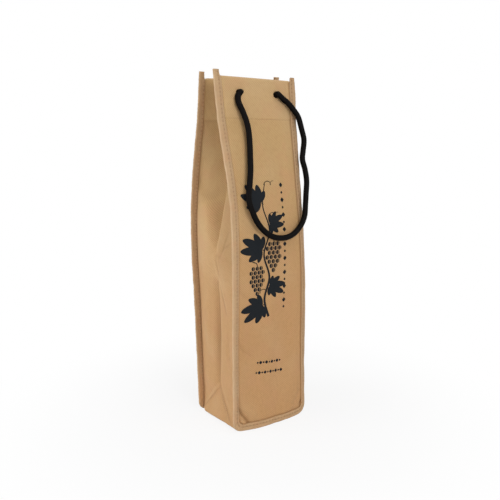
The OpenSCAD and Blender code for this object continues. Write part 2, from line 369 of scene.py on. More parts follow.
@dataclass
class Panel:
    """The standing surface of one panel, and everything that lies on it or beside it.

    Attributes:
        form: The bag's form.
        face: Which panel it is.
        folds: The creases pressed into it, in millimetres across and up.
        base_bow: How far its bottom edge stands out, from left to right.
        base_reach: Height over which the bottom's bow fades.
        belly_bow: How far its middle stands out at the belly.
        belly: Height of the belly, and how far up and down its bow fades.
        tuck: How far the cloth turns in under the seam.
        waves: Height of each set of ripples, and their length across and up.
        hem_rise: How far the doubled cloth of the hem stands out.
        groove: Depth of the groove beside the tape, its distance inside the seam and its width.
        line: Strength of the painted shadow that the tape casts just inside the seam, at the left and elsewhere, its
            distance and width.
        stitch_up: Distance of the hem's stitches over its lower edge.
        hem_pale: How pale the doubled cloth of the hem is.
        tilt: How far each fin leans out of the panel's plane for each millimetre of its width, over its height.
        shift: How far each edge stands outside the form's own edge, over its height.
        seed: The seed of its ripples.
    """

    form: BagForm
    face: Face
    folds: Folds = field(default_factory=Folds)
    base_bow: Profile = Profile(((-48, 0.5), (-40, 1.6), (-30, 3.6), (-15, 6.0), (0, 7.5), (15, 8.0), (30, 6.8),
                                 (40, 4.8), (48, 2.6)))
    base_reach: float = 62.0
    belly_bow: float = 2.2
    belly: Pair = (210.0, 85.0)
    tuck: float = 0.9
    waves: tuple[Triple, ...] = ((1.7, 22, 80), (0.5, 9, 24))
    hem_rise: float = 0.3
    groove: Triple = (0.5, 1.5, 0.8)
    line: tuple[float, float, float, float] = (0.4, 0.8, 1.4, 0.9)
    stitch_up: float = 2.25
    hem_pale: float = 0.3
    tilt: dict[Side, Profile] = field(default_factory=lambda: {
        Side.LEFT: Profile(((0, 0.1), (10, 0.45), (60, 0.6), (110, 0.5), (160, 0.38), (240, 0.14), (300, 0), (355, 0))),
        Side.RIGHT: Profile(((0, 0), (20, -0.3), (60, -0.4), (200, -0.35), (290, -0.1), (340, 0), (355, 0))),
    })
    shift: dict[Side, Profile] = field(default_factory=lambda: {side: Profile(((0, 0), (355, 0))) for side in Side})
    seed: float = 0.0

    def relief(self, across: float, z: float) -> float:
        """Returns how far the cloth stands outside the plane of its seams.

        Args:
            across: Distance from the panel's middle.
            z: Height on the pattern.

        Returns:
            The distance, outwards if it is positive.
        """
        form = self.form
        away = abs(across)
        fin = max(away - form.seam_half, 0)
        lean = fin * self.tilt[Side.of(across)].at(z) if fin else 0
        inner = 1 - ease((away - 0.55 * form.seam_half) / (0.45 * form.seam_half))
        bow = 1 - min(away / form.tip_half, 1) ** 2
        calm = 1 - 0.75 * ease((z - form.height + form.hem + 12) / 14)
        waves = sum(
            height * ripple(across / broad, z / tall, self.seed + 5 * k)
            for k, (height, broad, tall) in enumerate(self.waves)
        )
        inside = form.inside(across, z)
        depth, place, width = self.groove
        return (
            self.base_bow.at(across) * hump(z, 0, self.base_reach)
            + self.belly_bow * bow * hump(z, *self.belly)
            + calm * (inner * waves + self.folds.height(across, z) * ease((inside + 1) / 4))
            - self.tuck * (1 - min(z / form.rim, 1)) ** 2
            + lean
            + self.hem_rise * ease((z - form.height + form.hem) / 1.5) * inner
            - depth * hump(inside, place, width)
        )

    def shade(self, across: float, z: float) -> float:
        """Returns how pale or dark the cloth is, with its painted shade and highlights.

        Args:
            across: Distance from the panel's middle.
            z: Height on the pattern.

        Returns:
            How pale it is where it is worn at the mouth or doubled in the hem, or painted pale on a ridge; how dark it
            is with painted shade if negative.
        """
        form = self.form
        left, other, place, width = self.line
        edge = left if across < 0 and z > 2 * form.low_z else other
        hem = form.height - form.hem
        return (
            max(hump(z, form.height, 1.6), self.hem_pale * ease((z - hem) / 2))
            # Painted shadow of the tape, a dark line just inside the seam.
            - edge * hump(form.inside(across, z), place, width)
            # Painted shade along the hem's row of stitches.
            - 0.5 * hump(z, hem + self.stitch_up, 0.8)
            # Painted shade in crease grooves and painted highlights on their ridges.
            + self.folds.shade(across, z)
        )

    def skin(self, across: float, z: float) -> Vector:
        """Returns the point of the outer face at a place on the pattern.

        Args:
            across: Distance from the panel's middle.
            z: Height on the pattern.

        Returns:
            The point, in metres.
        """
        form = self.form
        y = form.half_depth(max(z, 0)) + self.relief(across, z)
        side = Side.of(across)
        share = min(abs(across) / form.seam_half, 1.0)
        moved = side.value * share * (form.edge_shift(side, z) + self.shift[side].at(z))
        return Vector((across + moved, self.face.value * y, z)) * MM

    def frame(self, across: float, z: float) -> tuple[Vector, Vector, Vector, Vector]:
        """Returns how the outer face stands at a place on the pattern.

        Args:
            across: Distance from the panel's middle.
            z: Height on the pattern.

        Returns:
            Its point, its tangents across and up, and its outward normal.
        """
        step = 0.25
        here = self.skin(across, z)
        right = (self.skin(across + step, z) - here).normalized()
        up = (self.skin(across, z + step) - here).normalized()
        out = right.cross(up) * -self.face.value
        return here, right, up, out.normalized()

    def layer(self, across: float, z: float, depth: float) -> Vector:
        """Returns a point at a depth in millimetres behind the outer face."""
        point, _, _, out = self.frame(across, z)
        return point - out * depth * MM


@dataclass
class Outline:
    """The seam line round a panel: down one side, across the bottom and up the other.

    Attributes:
        form: The bag's form.
        tops: Height of the line's end at each side.
        radius: The line's radius at the bottom corners.
    """

    form: BagForm
    tops: dict[Side, float]
    radius: float

    def side_run(self, side: Side) -> float:
        """Length of the straight part of a side."""
        return self.tops[side] - self.form.rim - self.radius

    @property
    def corner_run(self) -> float:
        """Length of each corner."""
        return self.radius * math.pi / 2

    def half(self, side: Side) -> float:
        """Length from a side's top to the middle of the bottom."""
        return self.side_run(side) + self.corner_run + self.form.seam_half - self.radius

    @property
    def length(self) -> float:
        """Length of the whole line."""
        return self.half(Side.LEFT) + self.half(Side.RIGHT)

    def at(self, along: float, outside: float) -> Pair:
        """Returns a place on the panel's pattern.

        Args:
            along: Distance along the line from its left end.
            outside: Distance outside the line.

        Returns:
            The place across and up.
        """
        form = self.form
        side = Side.LEFT if along <= self.half(Side.LEFT) else Side.RIGHT
        down = along if side is Side.LEFT else self.length - along
        inner = form.seam_half - self.radius
        run = self.side_run(side)
        if down <= run:
            return side.value * (form.seam_half + outside), self.tops[side] - down
        turn = (down - run) / self.radius
        if turn <= math.pi / 2:
            reach = self.radius + outside
            return side.value * (inner + reach * math.cos(turn)), form.rim + self.radius - reach * math.sin(turn)
        return side.value * (self.half(side) - down), form.rim - outside


class Workshop:
    """Turns flat patterns into pieces, and pieces into finished objects."""

    @staticmethod
    def grid(columns: int, rows: int) -> Mesh:
        """Makes a flat pattern.

        Args:
            columns: How many faces it has across.
            rows: How many faces it has up.

        Returns:
            The pattern, from -1 to 1 both ways.
        """
        bm = bmesh.new()
        bmesh.ops.create_grid(bm, x_segments=columns, y_segments=rows, size=1)
        return bm

    @staticmethod
    def move(bm: Mesh, place: Place, scale: float = MM) -> None:
        """Takes each point of a flat pattern to its standing place, and keeps the pattern as its UV map.

        Args:
            bm: The pattern, whose X and Y are its own sizes.
            place: Gives the standing place of a place on the pattern.
            scale: Size of a unit of the pattern in the UV map.
        """
        uv = bm.loops.layers.uv.new("Pattern")
        for face in bm.faces:
            for loop in face.loops:
                loop[uv].uv = (loop.vert.co.x * scale, loop.vert.co.y * scale)
        for vert in bm.verts:
            vert.co = place(vert.co.x, vert.co.y)

    @staticmethod
    def add_rows(bm: Mesh, at: float, half: float, steps: Sequence[float]) -> None:
        """Adds rows to the far edge of a flat pattern, between two columns.

        Args:
            bm: The pattern.
            at: The Y of the edge to add to. A negative Y adds below it.
            half: Only columns up to this far from the middle take part.
            steps: The depth of each row.
        """
        sign = 1 if at >= 0 else -1
        edges = [
            e
            for e in bm.edges
            if all(abs(v.co.y - at) < 1e-4 and abs(v.co.x) <= half + 1e-4 for v in e.verts)
        ]
        for step in steps:
            made = bmesh.ops.extrude_edge_only(bm, edges=edges)["geom"]
            verts = [g for g in made if isinstance(g, bmesh.types.BMVert)]
            fresh = set(verts)
            bmesh.ops.translate(bm, verts=verts, vec=(0, sign * step, 0))
            edges = [
                g for g in made if isinstance(g, bmesh.types.BMEdge) and all(v in fresh for v in g.verts)
            ]

    @staticmethod
    def finish(bm: Mesh, name: str, smooth: bool = True) -> Piece:
        """Makes an object of a mesh, with its faces turned outwards.

        Args:
            bm: The mesh, which is freed.
            name: The object's name.
            smooth: Whether its faces are shaded smooth.

        Returns:
            The object.
        """
        bmesh.ops.recalc_face_normals(bm, faces=bm.faces[:])
        log.info("%s: %d points", name, len(bm.verts))
        mesh = bpy.data.meshes.new(name)
        bm.to_mesh(mesh)
        bm.free()
        for polygon in mesh.polygons:
            polygon.use_smooth = smooth
        made = bpy.data.objects.new(name, mesh)
        bpy.context.scene.collection.objects.link(made)
        return made

    @staticmethod
    def thicken(piece: Piece, thickness: float) -> None:
        """Gives a sheet its thickness, to both sides of its surface.

        Args:
            piece: The sheet.
            thickness: Its thickness in millimetres.
        """
        wall = piece.modifiers.new("Thickness", "SOLIDIFY")
        wall.thickness = thickness * MM
        wall.offset = 0.0
        wall.use_even_offset = True

    @staticmethod
    def settle(piece: Piece) -> None:
        """Makes a piece's modifiers a part of its mesh.

        Args:
            piece: The piece.
        """
        graph = bpy.context.evaluated_depsgraph_get()
        mesh = bpy.data.meshes.new_from_object(piece.evaluated_get(graph), depsgraph=graph)
        piece.modifiers.clear()
        piece.data = mesh

    @staticmethod
    def stamp(make: Callable[[Mesh, Matrix], object], places: Sequence[Matrix]) -> Mesh:
        """Returns one mesh of a small shape made at many places.

        Args:
            make: Adds the shape to a mesh, at a place.
            places: The places.

        Returns:
            The mesh with every copy.
        """
        batch, whole = 12, bmesh.new()
        for first in range(0, len(places), batch):
            part, mesh = bmesh.new(), bpy.data.meshes.new("part")
            for place in places[first : first + batch]:
                make(part, place)
            part.to_mesh(mesh)
            part.free()
            whole.from_mesh(mesh)
            bpy.data.meshes.remove(mesh)
        return whole

    @staticmethod
    def punch(piece: Piece, holes: Sequence[Matrix], radius: float, depth: float) -> None:
        """Cuts round holes through a piece.

        Args:
            piece: The piece to cut.
            holes: Where each hole is, with its axis along its own Z.
            radius: The holes' radius in millimetres.
            depth: The length of each cut in millimetres.
        """
        bm = bmesh.new()
        for hole in holes:
            bmesh.ops.create_cone(
                bm, cap_ends=True, segments=36, radius1=radius * MM, radius2=radius * MM,
                depth=depth * MM, matrix=hole,
            )
        cutter = Workshop.finish(bm, "hole_cutter", smooth=False)
        cut = piece.modifiers.new("Holes", "BOOLEAN")
        cut.operation = "DIFFERENCE"
        cut.object = cutter
        cut.solver = "EXACT"
        Workshop.settle(piece)
        bpy.data.objects.remove(cutter, do_unlink=True)


class NodeWork:
    """Adds and joins the nodes of a material or of the world."""

    def __init__(self, tree: bpy.types.NodeTree) -> None:
        """Takes up a tree of nodes."""
        self.nodes, self.links = tree.nodes, tree.links

    def node(self, kind: str, **settings: object) -> bpy.types.Node:
        """Adds a node.

        Args:
            kind: The kind of node.
            settings: Its settings, by name.

        Returns:
            The new node.
        """
        made = self.nodes.new(kind)
        for key, value in settings.items():
            setattr(made, key, value)
        return made

    def link(self, source: Socket, target: Socket) -> None:
        """Joins two sockets."""
        self.links.new(source, target)

    def feed(self, sockets: Sequence[Socket], values: Sequence[object]) -> None:
        """Links or sets some inputs.

        Args:
            sockets: The inputs.
            values: The socket or the plain value for each one.
        """
        for socket, value in zip(sockets, values):
            if isinstance(value, Socket):
                self.link(value, socket)
            else:
                socket.default_value = value

    def math(self, operation: str, *values: Socket | float) -> Socket:
        """Returns the result of a sum.

        Args:
            operation: The kind of sum.
            values: Sockets and numbers.

        Returns:
            The socket with the result.
        """
        made = self.node("ShaderNodeMath", operation=operation)
        self.feed(made.inputs, values)
        return made.outputs[0]

    def vector(self, operation: str, *values: Socket | Sequence[float]) -> bpy.types.Node:
        """Returns the node of a sum on vectors.

        Args:
            operation: The kind of sum.
            values: Sockets and vectors.

        Returns:
            The node, which has a vector and a plain result.
        """
        made = self.node("ShaderNodeVectorMath", operation=operation)
        self.feed(made.inputs, values)
        return made

    def span(self, value: Socket, given: Pair, made: Pair, kind: str) -> Socket:
        """Takes a value from one range to another.

        Args:
            value: The value.
            given: The range that it has.
            made: The range that it gets.
            kind: How it goes between the ends.

        Returns:
            The socket with the result.
        """
        work = self.node("ShaderNodeMapRange", interpolation_type=kind)
        self.feed([work.inputs[key] for key in ("Value", "From Min", "From Max", "To Min", "To Max")],
                  (value, *given, *made))
        return work.outputs["Result"]


@dataclass
class Finish(NodeWork):
    """A material made of nodes, started with a plain shader.

    Attributes:
        name: The material's name.
        roughness: How matt it is.
        sheen: The share of soft light at grazing angles, as on fibres.
        gloss: The level of its highlights.
    """

    name: str
    roughness: float = 0.9
    sheen: float = 0.0
    gloss: float = 0.2

    def __post_init__(self) -> None:
        """Makes the material and its shader."""
        self.material = bpy.data.materials.new(self.name)
        self.material.use_nodes = True
        super().__init__(self.material.node_tree)
        self.shader = self.nodes["Principled BSDF"]
        self.feed([self.shader.inputs[key] for key in ("Roughness", "Sheen Weight", "Specular IOR Level")],
                  (self.roughness, self.sheen, self.gloss))

    def ramp(self, value: Socket, low: float, high: float, to_low: float = 0.0, to_high: float = 1.0) -> Socket:
        """Returns a value taken smoothly from one range to another."""
        return self.span(value, (low, high), (to_low, to_high), "SMOOTHSTEP")

    def pattern(self, turn: float = 0.0, scale: Sequence[float] = (1, 1, 1)) -> Socket:
        """Returns the piece's own pattern coordinates.

        Args:
            turn: How far they are turned, in degrees.
            scale: How far they are scaled.

        Returns:
            The socket with the coordinates.
        """
        source = self.node("ShaderNodeUVMap", uv_map="Pattern")
        mapping = self.node("ShaderNodeMapping")
        mapping.inputs["Rotation"].default_value = (0, 0, math.radians(turn))
        mapping.inputs["Scale"].default_value = scale
        self.link(source.outputs["UV"], mapping.inputs["Vector"])
        return mapping.outputs["Vector"]

    def place(self) -> Socket:
        """Returns the place in the bag's own frame."""
        return self.node("ShaderNodeTexCoord").outputs["Object"]

    def noise(self, vector: Socket, scale: float, detail: float = 3.0, rough: float = 0.5) -> Socket:
        """Returns soft noise from 0 to 1.

        Args:
            vector: The coordinates that it is read at.
            scale: How many cells it has to the metre.
            detail: How many finer layers it has.
            rough: How strong the finer layers are.

        Returns:
            The socket with the noise.
        """
        made = self.node("ShaderNodeTexNoise")
        self.feed([made.inputs[key] for key in ("Vector", "Scale", "Detail", "Roughness")],
                  (vector, scale, detail, rough))
        return made.outputs["Fac"]

    def tint(self, share: Socket | float, first: Socket | Sequence[float], second: Sequence[float]) -> Socket:
        """Returns a mix of two colours.

        Args:
            share: The share of the second colour.
            first: The first colour.
            second: The second colour.

        Returns:
            The socket with the mix.
        """
        made = self.node("ShaderNodeMix", data_type="RGBA")
        first = first if isinstance(first, Socket) else (*first, 1)
        self.feed([made.inputs[k] for k in (0, 6, 7)], (share, first, (*second, 1)))
        return made.outputs[2]

    def emboss(self, height: Socket, distance: float, strength: float = 1.0) -> None:
        """Gives the shader a bump.

        Args:
            height: The height that it follows.
            distance: How far it stands out, in millimetres.
            strength: How strongly it shows.
        """
        made = self.node("ShaderNodeBump")
        self.feed([made.inputs[key] for key in ("Strength", "Distance", "Height")], (strength, distance * MM, height))
        self.link(made.outputs["Normal"], self.shader.inputs["Normal"])

    def colour(self, source: Socket) -> None:
        """Gives the shader its colour."""
        self.link(source, self.shader.inputs["Base Color"])


def linear(*srgb: int) -> Tone:
    """Returns the linear colour of a display colour with parts from 0 to 255."""
    return tuple((c / 255 / 12.92) if c <= 10 else ((c / 255 + 0.055) / 1.055) ** 2.4 for c in srgb)


@dataclass
class NonWoven(Finish):
    """Spun-bonded cloth, pressed with small dots in slanting rows.

    Attributes:
        main: The cloth's colour.
        pale: Its colour where the fibres are thin, worn or doubled, and of the painted highlights along ridges and
            folds.
        deep: Its colour where the fibres are dense.
        low_shade: Its colour low down, a painted shade that makes the cloth warmer towards the bottom, where less light
            falls from above.
        pit: Its colour in the pressed dots.
        shade: The colour of painted shade, in creases, corners, stitch lines and needle holes.
        blush: Its colour in broad faint patches.
        dot_pitch: Distance between the pressed dots, in millimetres.
        dot_depth: How strongly the dots show in the colour.
    """

    main: Tone = linear(196, 161, 112)
    pale: Tone = linear(212, 182, 142)
    deep: Tone = linear(170, 129, 82)
    low_shade: Tone = linear(198, 149, 102)
    pit: Tone = linear(150, 112, 68)
    shade: Tone = linear(118, 80, 46)
    blush: Tone = linear(200, 150, 110)
    dot_pitch: float = 1.6
    dot_depth: float = 0.5

    def dress(self) -> bpy.types.Material:
        """Makes the finish's colour and relief.

        Returns:
            The finished cloth.
        """
        dots = self.pattern(turn=42, scale=(1000 / self.dot_pitch, 1000 / self.dot_pitch, 1))
        cell = self.vector("FRACTION", dots).outputs[0]
        from_middle = self.vector("LENGTH", self.vector("SUBTRACT", cell, (0.5, 0.5, 0.0)).outputs[0])
        dot = self.ramp(from_middle.outputs["Value"], 0.16, 0.4, 1.0, 0.0)
        cloud = self.noise(self.pattern(), 240, 4, 0.65)
        patch = self.noise(self.pattern(), 18, 2, 0.5)
        fibre = self.noise(self.pattern(turn=20, scale=(1, 0.16, 1)), 2600, 2, 0.6)
        cross = self.noise(self.pattern(turn=-35, scale=(0.16, 1, 1)), 2600, 2, 0.6)
        thread = self.math("MAXIMUM", fibre, cross)
        height = self.node("ShaderNodeSeparateXYZ")
        self.link(self.place(), height.inputs[0])
        # Painted shade: the cloth turns warmer towards the bottom, standing in for the light from above that falls
        # there less.
        base = self.tint(self.ramp(height.outputs["Z"], 0.3, 0.1, 0.0, 0.75), self.main, self.low_shade)
        base = self.tint(self.math("MULTIPLY", self.ramp(cloud, 0.58, 0.3), 0.22), base, self.deep)
        base = self.tint(self.math("MULTIPLY", self.ramp(patch, 0.42, 0.7), 0.2), base, self.pale)
        bloom = self.noise(self.pattern(turn=60), 42, 2, 0.6)
        base = self.tint(self.math("MULTIPLY", self.ramp(bloom, 0.45, 0.68), 0.35), base, self.blush)
        base = self.tint(self.math("MULTIPLY", self.ramp(thread, 0.5, 0.78), 0.22), base, self.pale)
        base = self.tint(self.math("MULTIPLY", dot, self.dot_depth), base, self.pit)
        # The attribute read here makes the cloth paler where it is worn or doubled and paints highlights on ridges; its
        # negative part paints shade in creases, corners, stitch lines and needle holes.
        tone_and_painted_shade = self.node("ShaderNodeAttribute", attribute_name="tone_and_painted_shade").outputs["Fac"]
        base = self.tint(self.math("MULTIPLY", tone_and_painted_shade, 0.6), base, self.pale)
        base = self.tint(self.math("MULTIPLY", self.math("MAXIMUM", self.math("MULTIPLY", tone_and_painted_shade, -1.0), 0.0), 0.6),
                         base, self.shade)
        self.colour(base)
        relief = self.math("SUBTRACT", self.math("MULTIPLY", thread, 0.35), dot)
        self.emboss(self.math("ADD", relief, self.math("MULTIPLY", cloud, 0.45)), 0.12)
        return self.material


@dataclass
class Twist(Finish):
    """Spun thread, shaded along its own length."""

    main: Tone = linear(208, 176, 136)
    deep: Tone = linear(158, 124, 86)

    def dress(self) -> bpy.types.Material:
        """Makes the finish's colour and relief.

        Returns:
            The finished thread.
        """
        strands = self.noise(self.place(), 5200, 2, 0.6)
        self.colour(self.tint(self.ramp(strands, 0.35, 0.65), self.deep, self.main))
        self.emboss(strands, 0.05)
        return self.material


@dataclass
class Braid(Finish):
    """Black braided cord, with painted shade between its strands and faint painted highlights along them."""

    main: Tone = linear(17, 14, 13)
    deep: Tone = linear(5, 4, 4)

    def dress(self) -> bpy.types.Material:
        """Makes the finish's colour and relief.

        Returns:
            The finished cord.
        """
        filament = self.noise(self.pattern(turn=30, scale=(1, 0.2, 1)), 3800, 2, 0.7)
        raised = self.node("ShaderNodeAttribute", attribute_name="tone_and_painted_shade").outputs["Fac"]
        # Painted shade: the cord is darker between its raised strands.
        base = self.tint(self.ramp(raised, 0.25, 0.95), self.deep, self.main)
        # Painted highlights: faint lighter streaks along the strands.
        base = self.tint(self.math("MULTIPLY", self.ramp(filament, 0.5, 0.8), 0.4), base, linear(38, 33, 30))
        self.colour(base)
        self.emboss(filament, 0.08)
        return self.material


@dataclass
class Ink(Finish):
    """Printed ink, broken a little by the cloth under it."""

    main: Tone = linear(26, 30, 34)
    worn: Tone = linear(58, 54, 50)

    def dress(self) -> bpy.types.Material:
        """Makes the finish's colour and relief.

        Returns:
            The finished ink.
        """
        grain = self.noise(self.place(), 2400, 3, 0.7)
        self.colour(self.tint(self.math("MULTIPLY", self.ramp(grain, 0.52, 0.8), 0.7), self.main, self.worn))
        self.emboss(grain, 0.06)
        return self.material


@dataclass
class Card(Finish):
    """Grey-brown board of pressed fibres."""

    main: Tone = linear(150, 132, 108)
    deep: Tone = linear(112, 96, 76)

    def dress(self) -> bpy.types.Material:
        """Makes the finish's colour and relief.

        Returns:
            The finished board.
        """
        pulp = self.noise(self.place(), 420, 6, 0.7)
        flecks = self.noise(self.place(), 2100, 2, 0.5)
        base = self.tint(self.ramp(pulp, 0.3, 0.7), self.deep, self.main)
        self.colour(self.tint(self.ramp(flecks, 0.68, 0.74), base, linear(88, 72, 54)))
        self.emboss(pulp, 0.1)
        return self.material


@dataclass
class Wardrobe:
    """The bag's finishes, each made once."""

    def __post_init__(self) -> None:
        """Makes every finish."""
        self.cloth = NonWoven("body_cloth", sheen=0.06).dress()
        # The tape's low colour is the same painted shade towards the bottom, warmer than its main colour.
        self.tape = NonWoven(
            "binding_tape", sheen=0.06, main=linear(194, 161, 123), pale=linear(212, 184, 150),
            deep=linear(174, 138, 100), low_shade=linear(202, 165, 124), dot_pitch=1.2, dot_depth=0.25,
        ).dress()
        self.thread = Twist("sewing_thread", roughness=0.8).dress()
        self.rope = Braid("black_rope", roughness=0.5, gloss=0.05).dress()
        self.ink = Ink("print_ink", roughness=0.7, gloss=0.1).dress()
        self.board = Card("base_card", roughness=0.95).dress()


def hem_steps(fold_run: float, hem: float) -> list[float]:
    """Returns the depth of each row of faces over the fold at the mouth and down the hem."""
    return [fold_run / FOLD_ROWS] * FOLD_ROWS + [hem / HEM_ROWS] * HEM_ROWS


def give(piece: Piece, material: bpy.types.Material, body: str = "root") -> None:
    """Gives a piece its finish and its place in the frame.

    Args:
        piece: The piece.
        material: Its finish.
        body: The body that it rides on, if it isn't set elsewhere.
    """
    piece.data.materials.clear()
    piece.data.materials.append(material)
    if body:
        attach(piece, body)


def paint_tone_and_shade(bm: Mesh, amount: Callable[[Vector], float]) -> None:
    """Keeps each point's tone for the finish to read: worn or doubled cloth, painted highlights and painted shade.

    Args:
        bm: The flat pattern.
        amount: Gives the tone at a place on the pattern, with its painted shade and highlights.
    """
    layer = bm.verts.layers.float.new("tone_and_painted_shade")
    for vert in bm.verts:
        vert[layer] = amount(vert.co)


@dataclass
class HemmedPanel:
    """A panel cut from one cloth, with rounded lower corners and its top turned in.

    Attributes:
        panel: Its standing surface.
        node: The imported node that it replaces.
        hole_half: Half the distance between its holes.
        hole_z: Height of the holes.
        hole_radius: Radius of the holes.
        hem_half: Half the width of the turned hem.
        fold: Radius of the fold at the mouth, to the middle of the cloth.
        corner: Radius of the lower corners.
        cut_depth: Length of the punch that cuts the holes.
        columns: How many faces the cloth has across.
        rows: How many faces it has up to the fold.
    """

    panel: Panel
    node: str
    hole_half: float = 22.5
    hole_z: float = 340.0
    hole_radius: float = 3.1
    hem_half: float = 40.5
    fold: float = 0.38
    corner: float = 12.0
    cut_depth: float = 12.0
    columns: int = 84
    rows: int = 270

    @property
    def fold_run(self) -> float:
        """Length of cloth in the fold."""
        return math.pi * self.fold

    @property
    def cut_length(self) -> float:
        """Length of the cloth before it is hemmed."""
        form = self.panel.form
        return form.height - form.cloth + self.fold_run + form.hem

    def place(self, across: float, along: float) -> Vector:
        """Returns the standing place of a place on the cut cloth.

        Args:
            across: Distance from the cloth's middle.
            along: Distance from the floor, up the panel, over the fold and down the hem.

        Returns:
            The point on the middle of the cloth.
        """
        form = self.panel.form
        top, middle = form.height - self.fold, form.cloth / 2
        over = along - top
        if over <= 0:
            return self.panel.layer(across, along, middle)
        turn = over / self.fold
        if turn < math.pi:
            return self.panel.layer(
                across, top + self.fold * math.sin(turn), middle + self.fold * (1 - math.cos(turn))
            )
        return self.panel.layer(across, top - (over - self.fold_run), middle + 2 * self.fold)

    def cut(self) -> Mesh:
        """Cuts the cloth.

        Returns:
            The flat cloth, with its corners rounded and rows for the hem.
        """
        form = self.panel.form
        bm = Workshop.grid(self.columns, self.rows)
        low, high = form.cloth, form.height - self.fold
        for vert in bm.verts:
            z = mix(low, high, (vert.co.y + 1) / 2)
            drop = max(self.corner - (z - low), 0)
            half = form.tip_half - self.corner + math.sqrt(max(self.corner**2 - drop**2, 0))
            across = vert.co.x * form.tip_half
            vert.co = (vert.co.x * half if drop else across, z, 0)
        Workshop.add_rows(bm, high, self.hem_half + 1, hem_steps(self.fold_run, form.hem))
        return bm

    def hole_frames(self) -> list[Matrix]:
        """Finds the holes' places.

        Returns:
            Where each hole is, with its axis square to the cloth.
        """
        frames = []
        for side in Side:
            point, right, up, out = self.panel.frame(side.value * self.hole_half, self.hole_z)
            frames.append(Matrix.Translation(point) @ Matrix((right, up, out)).transposed().to_4x4())
        return frames

    def sew(self, wardrobe: Wardrobe) -> Piece:
        """Makes the panel.

        Args:
            wardrobe: The bag's finishes.

        Returns:
            The finished piece.
        """
        form = self.panel.form
        bm = self.cut()
        paint_tone_and_shade(bm, lambda p: self.panel.shade(p.x, p.y))
        Workshop.move(bm, self.place)
        piece = Workshop.finish(bm, f"{self.panel.face.name.lower()}_cloth_panel")
        Workshop.thicken(piece, form.cloth)
        Workshop.punch(piece, self.hole_frames(), self.hole_radius, self.cut_depth)
        give(piece, wardrobe.cloth)
        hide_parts(self.node)
        return piece


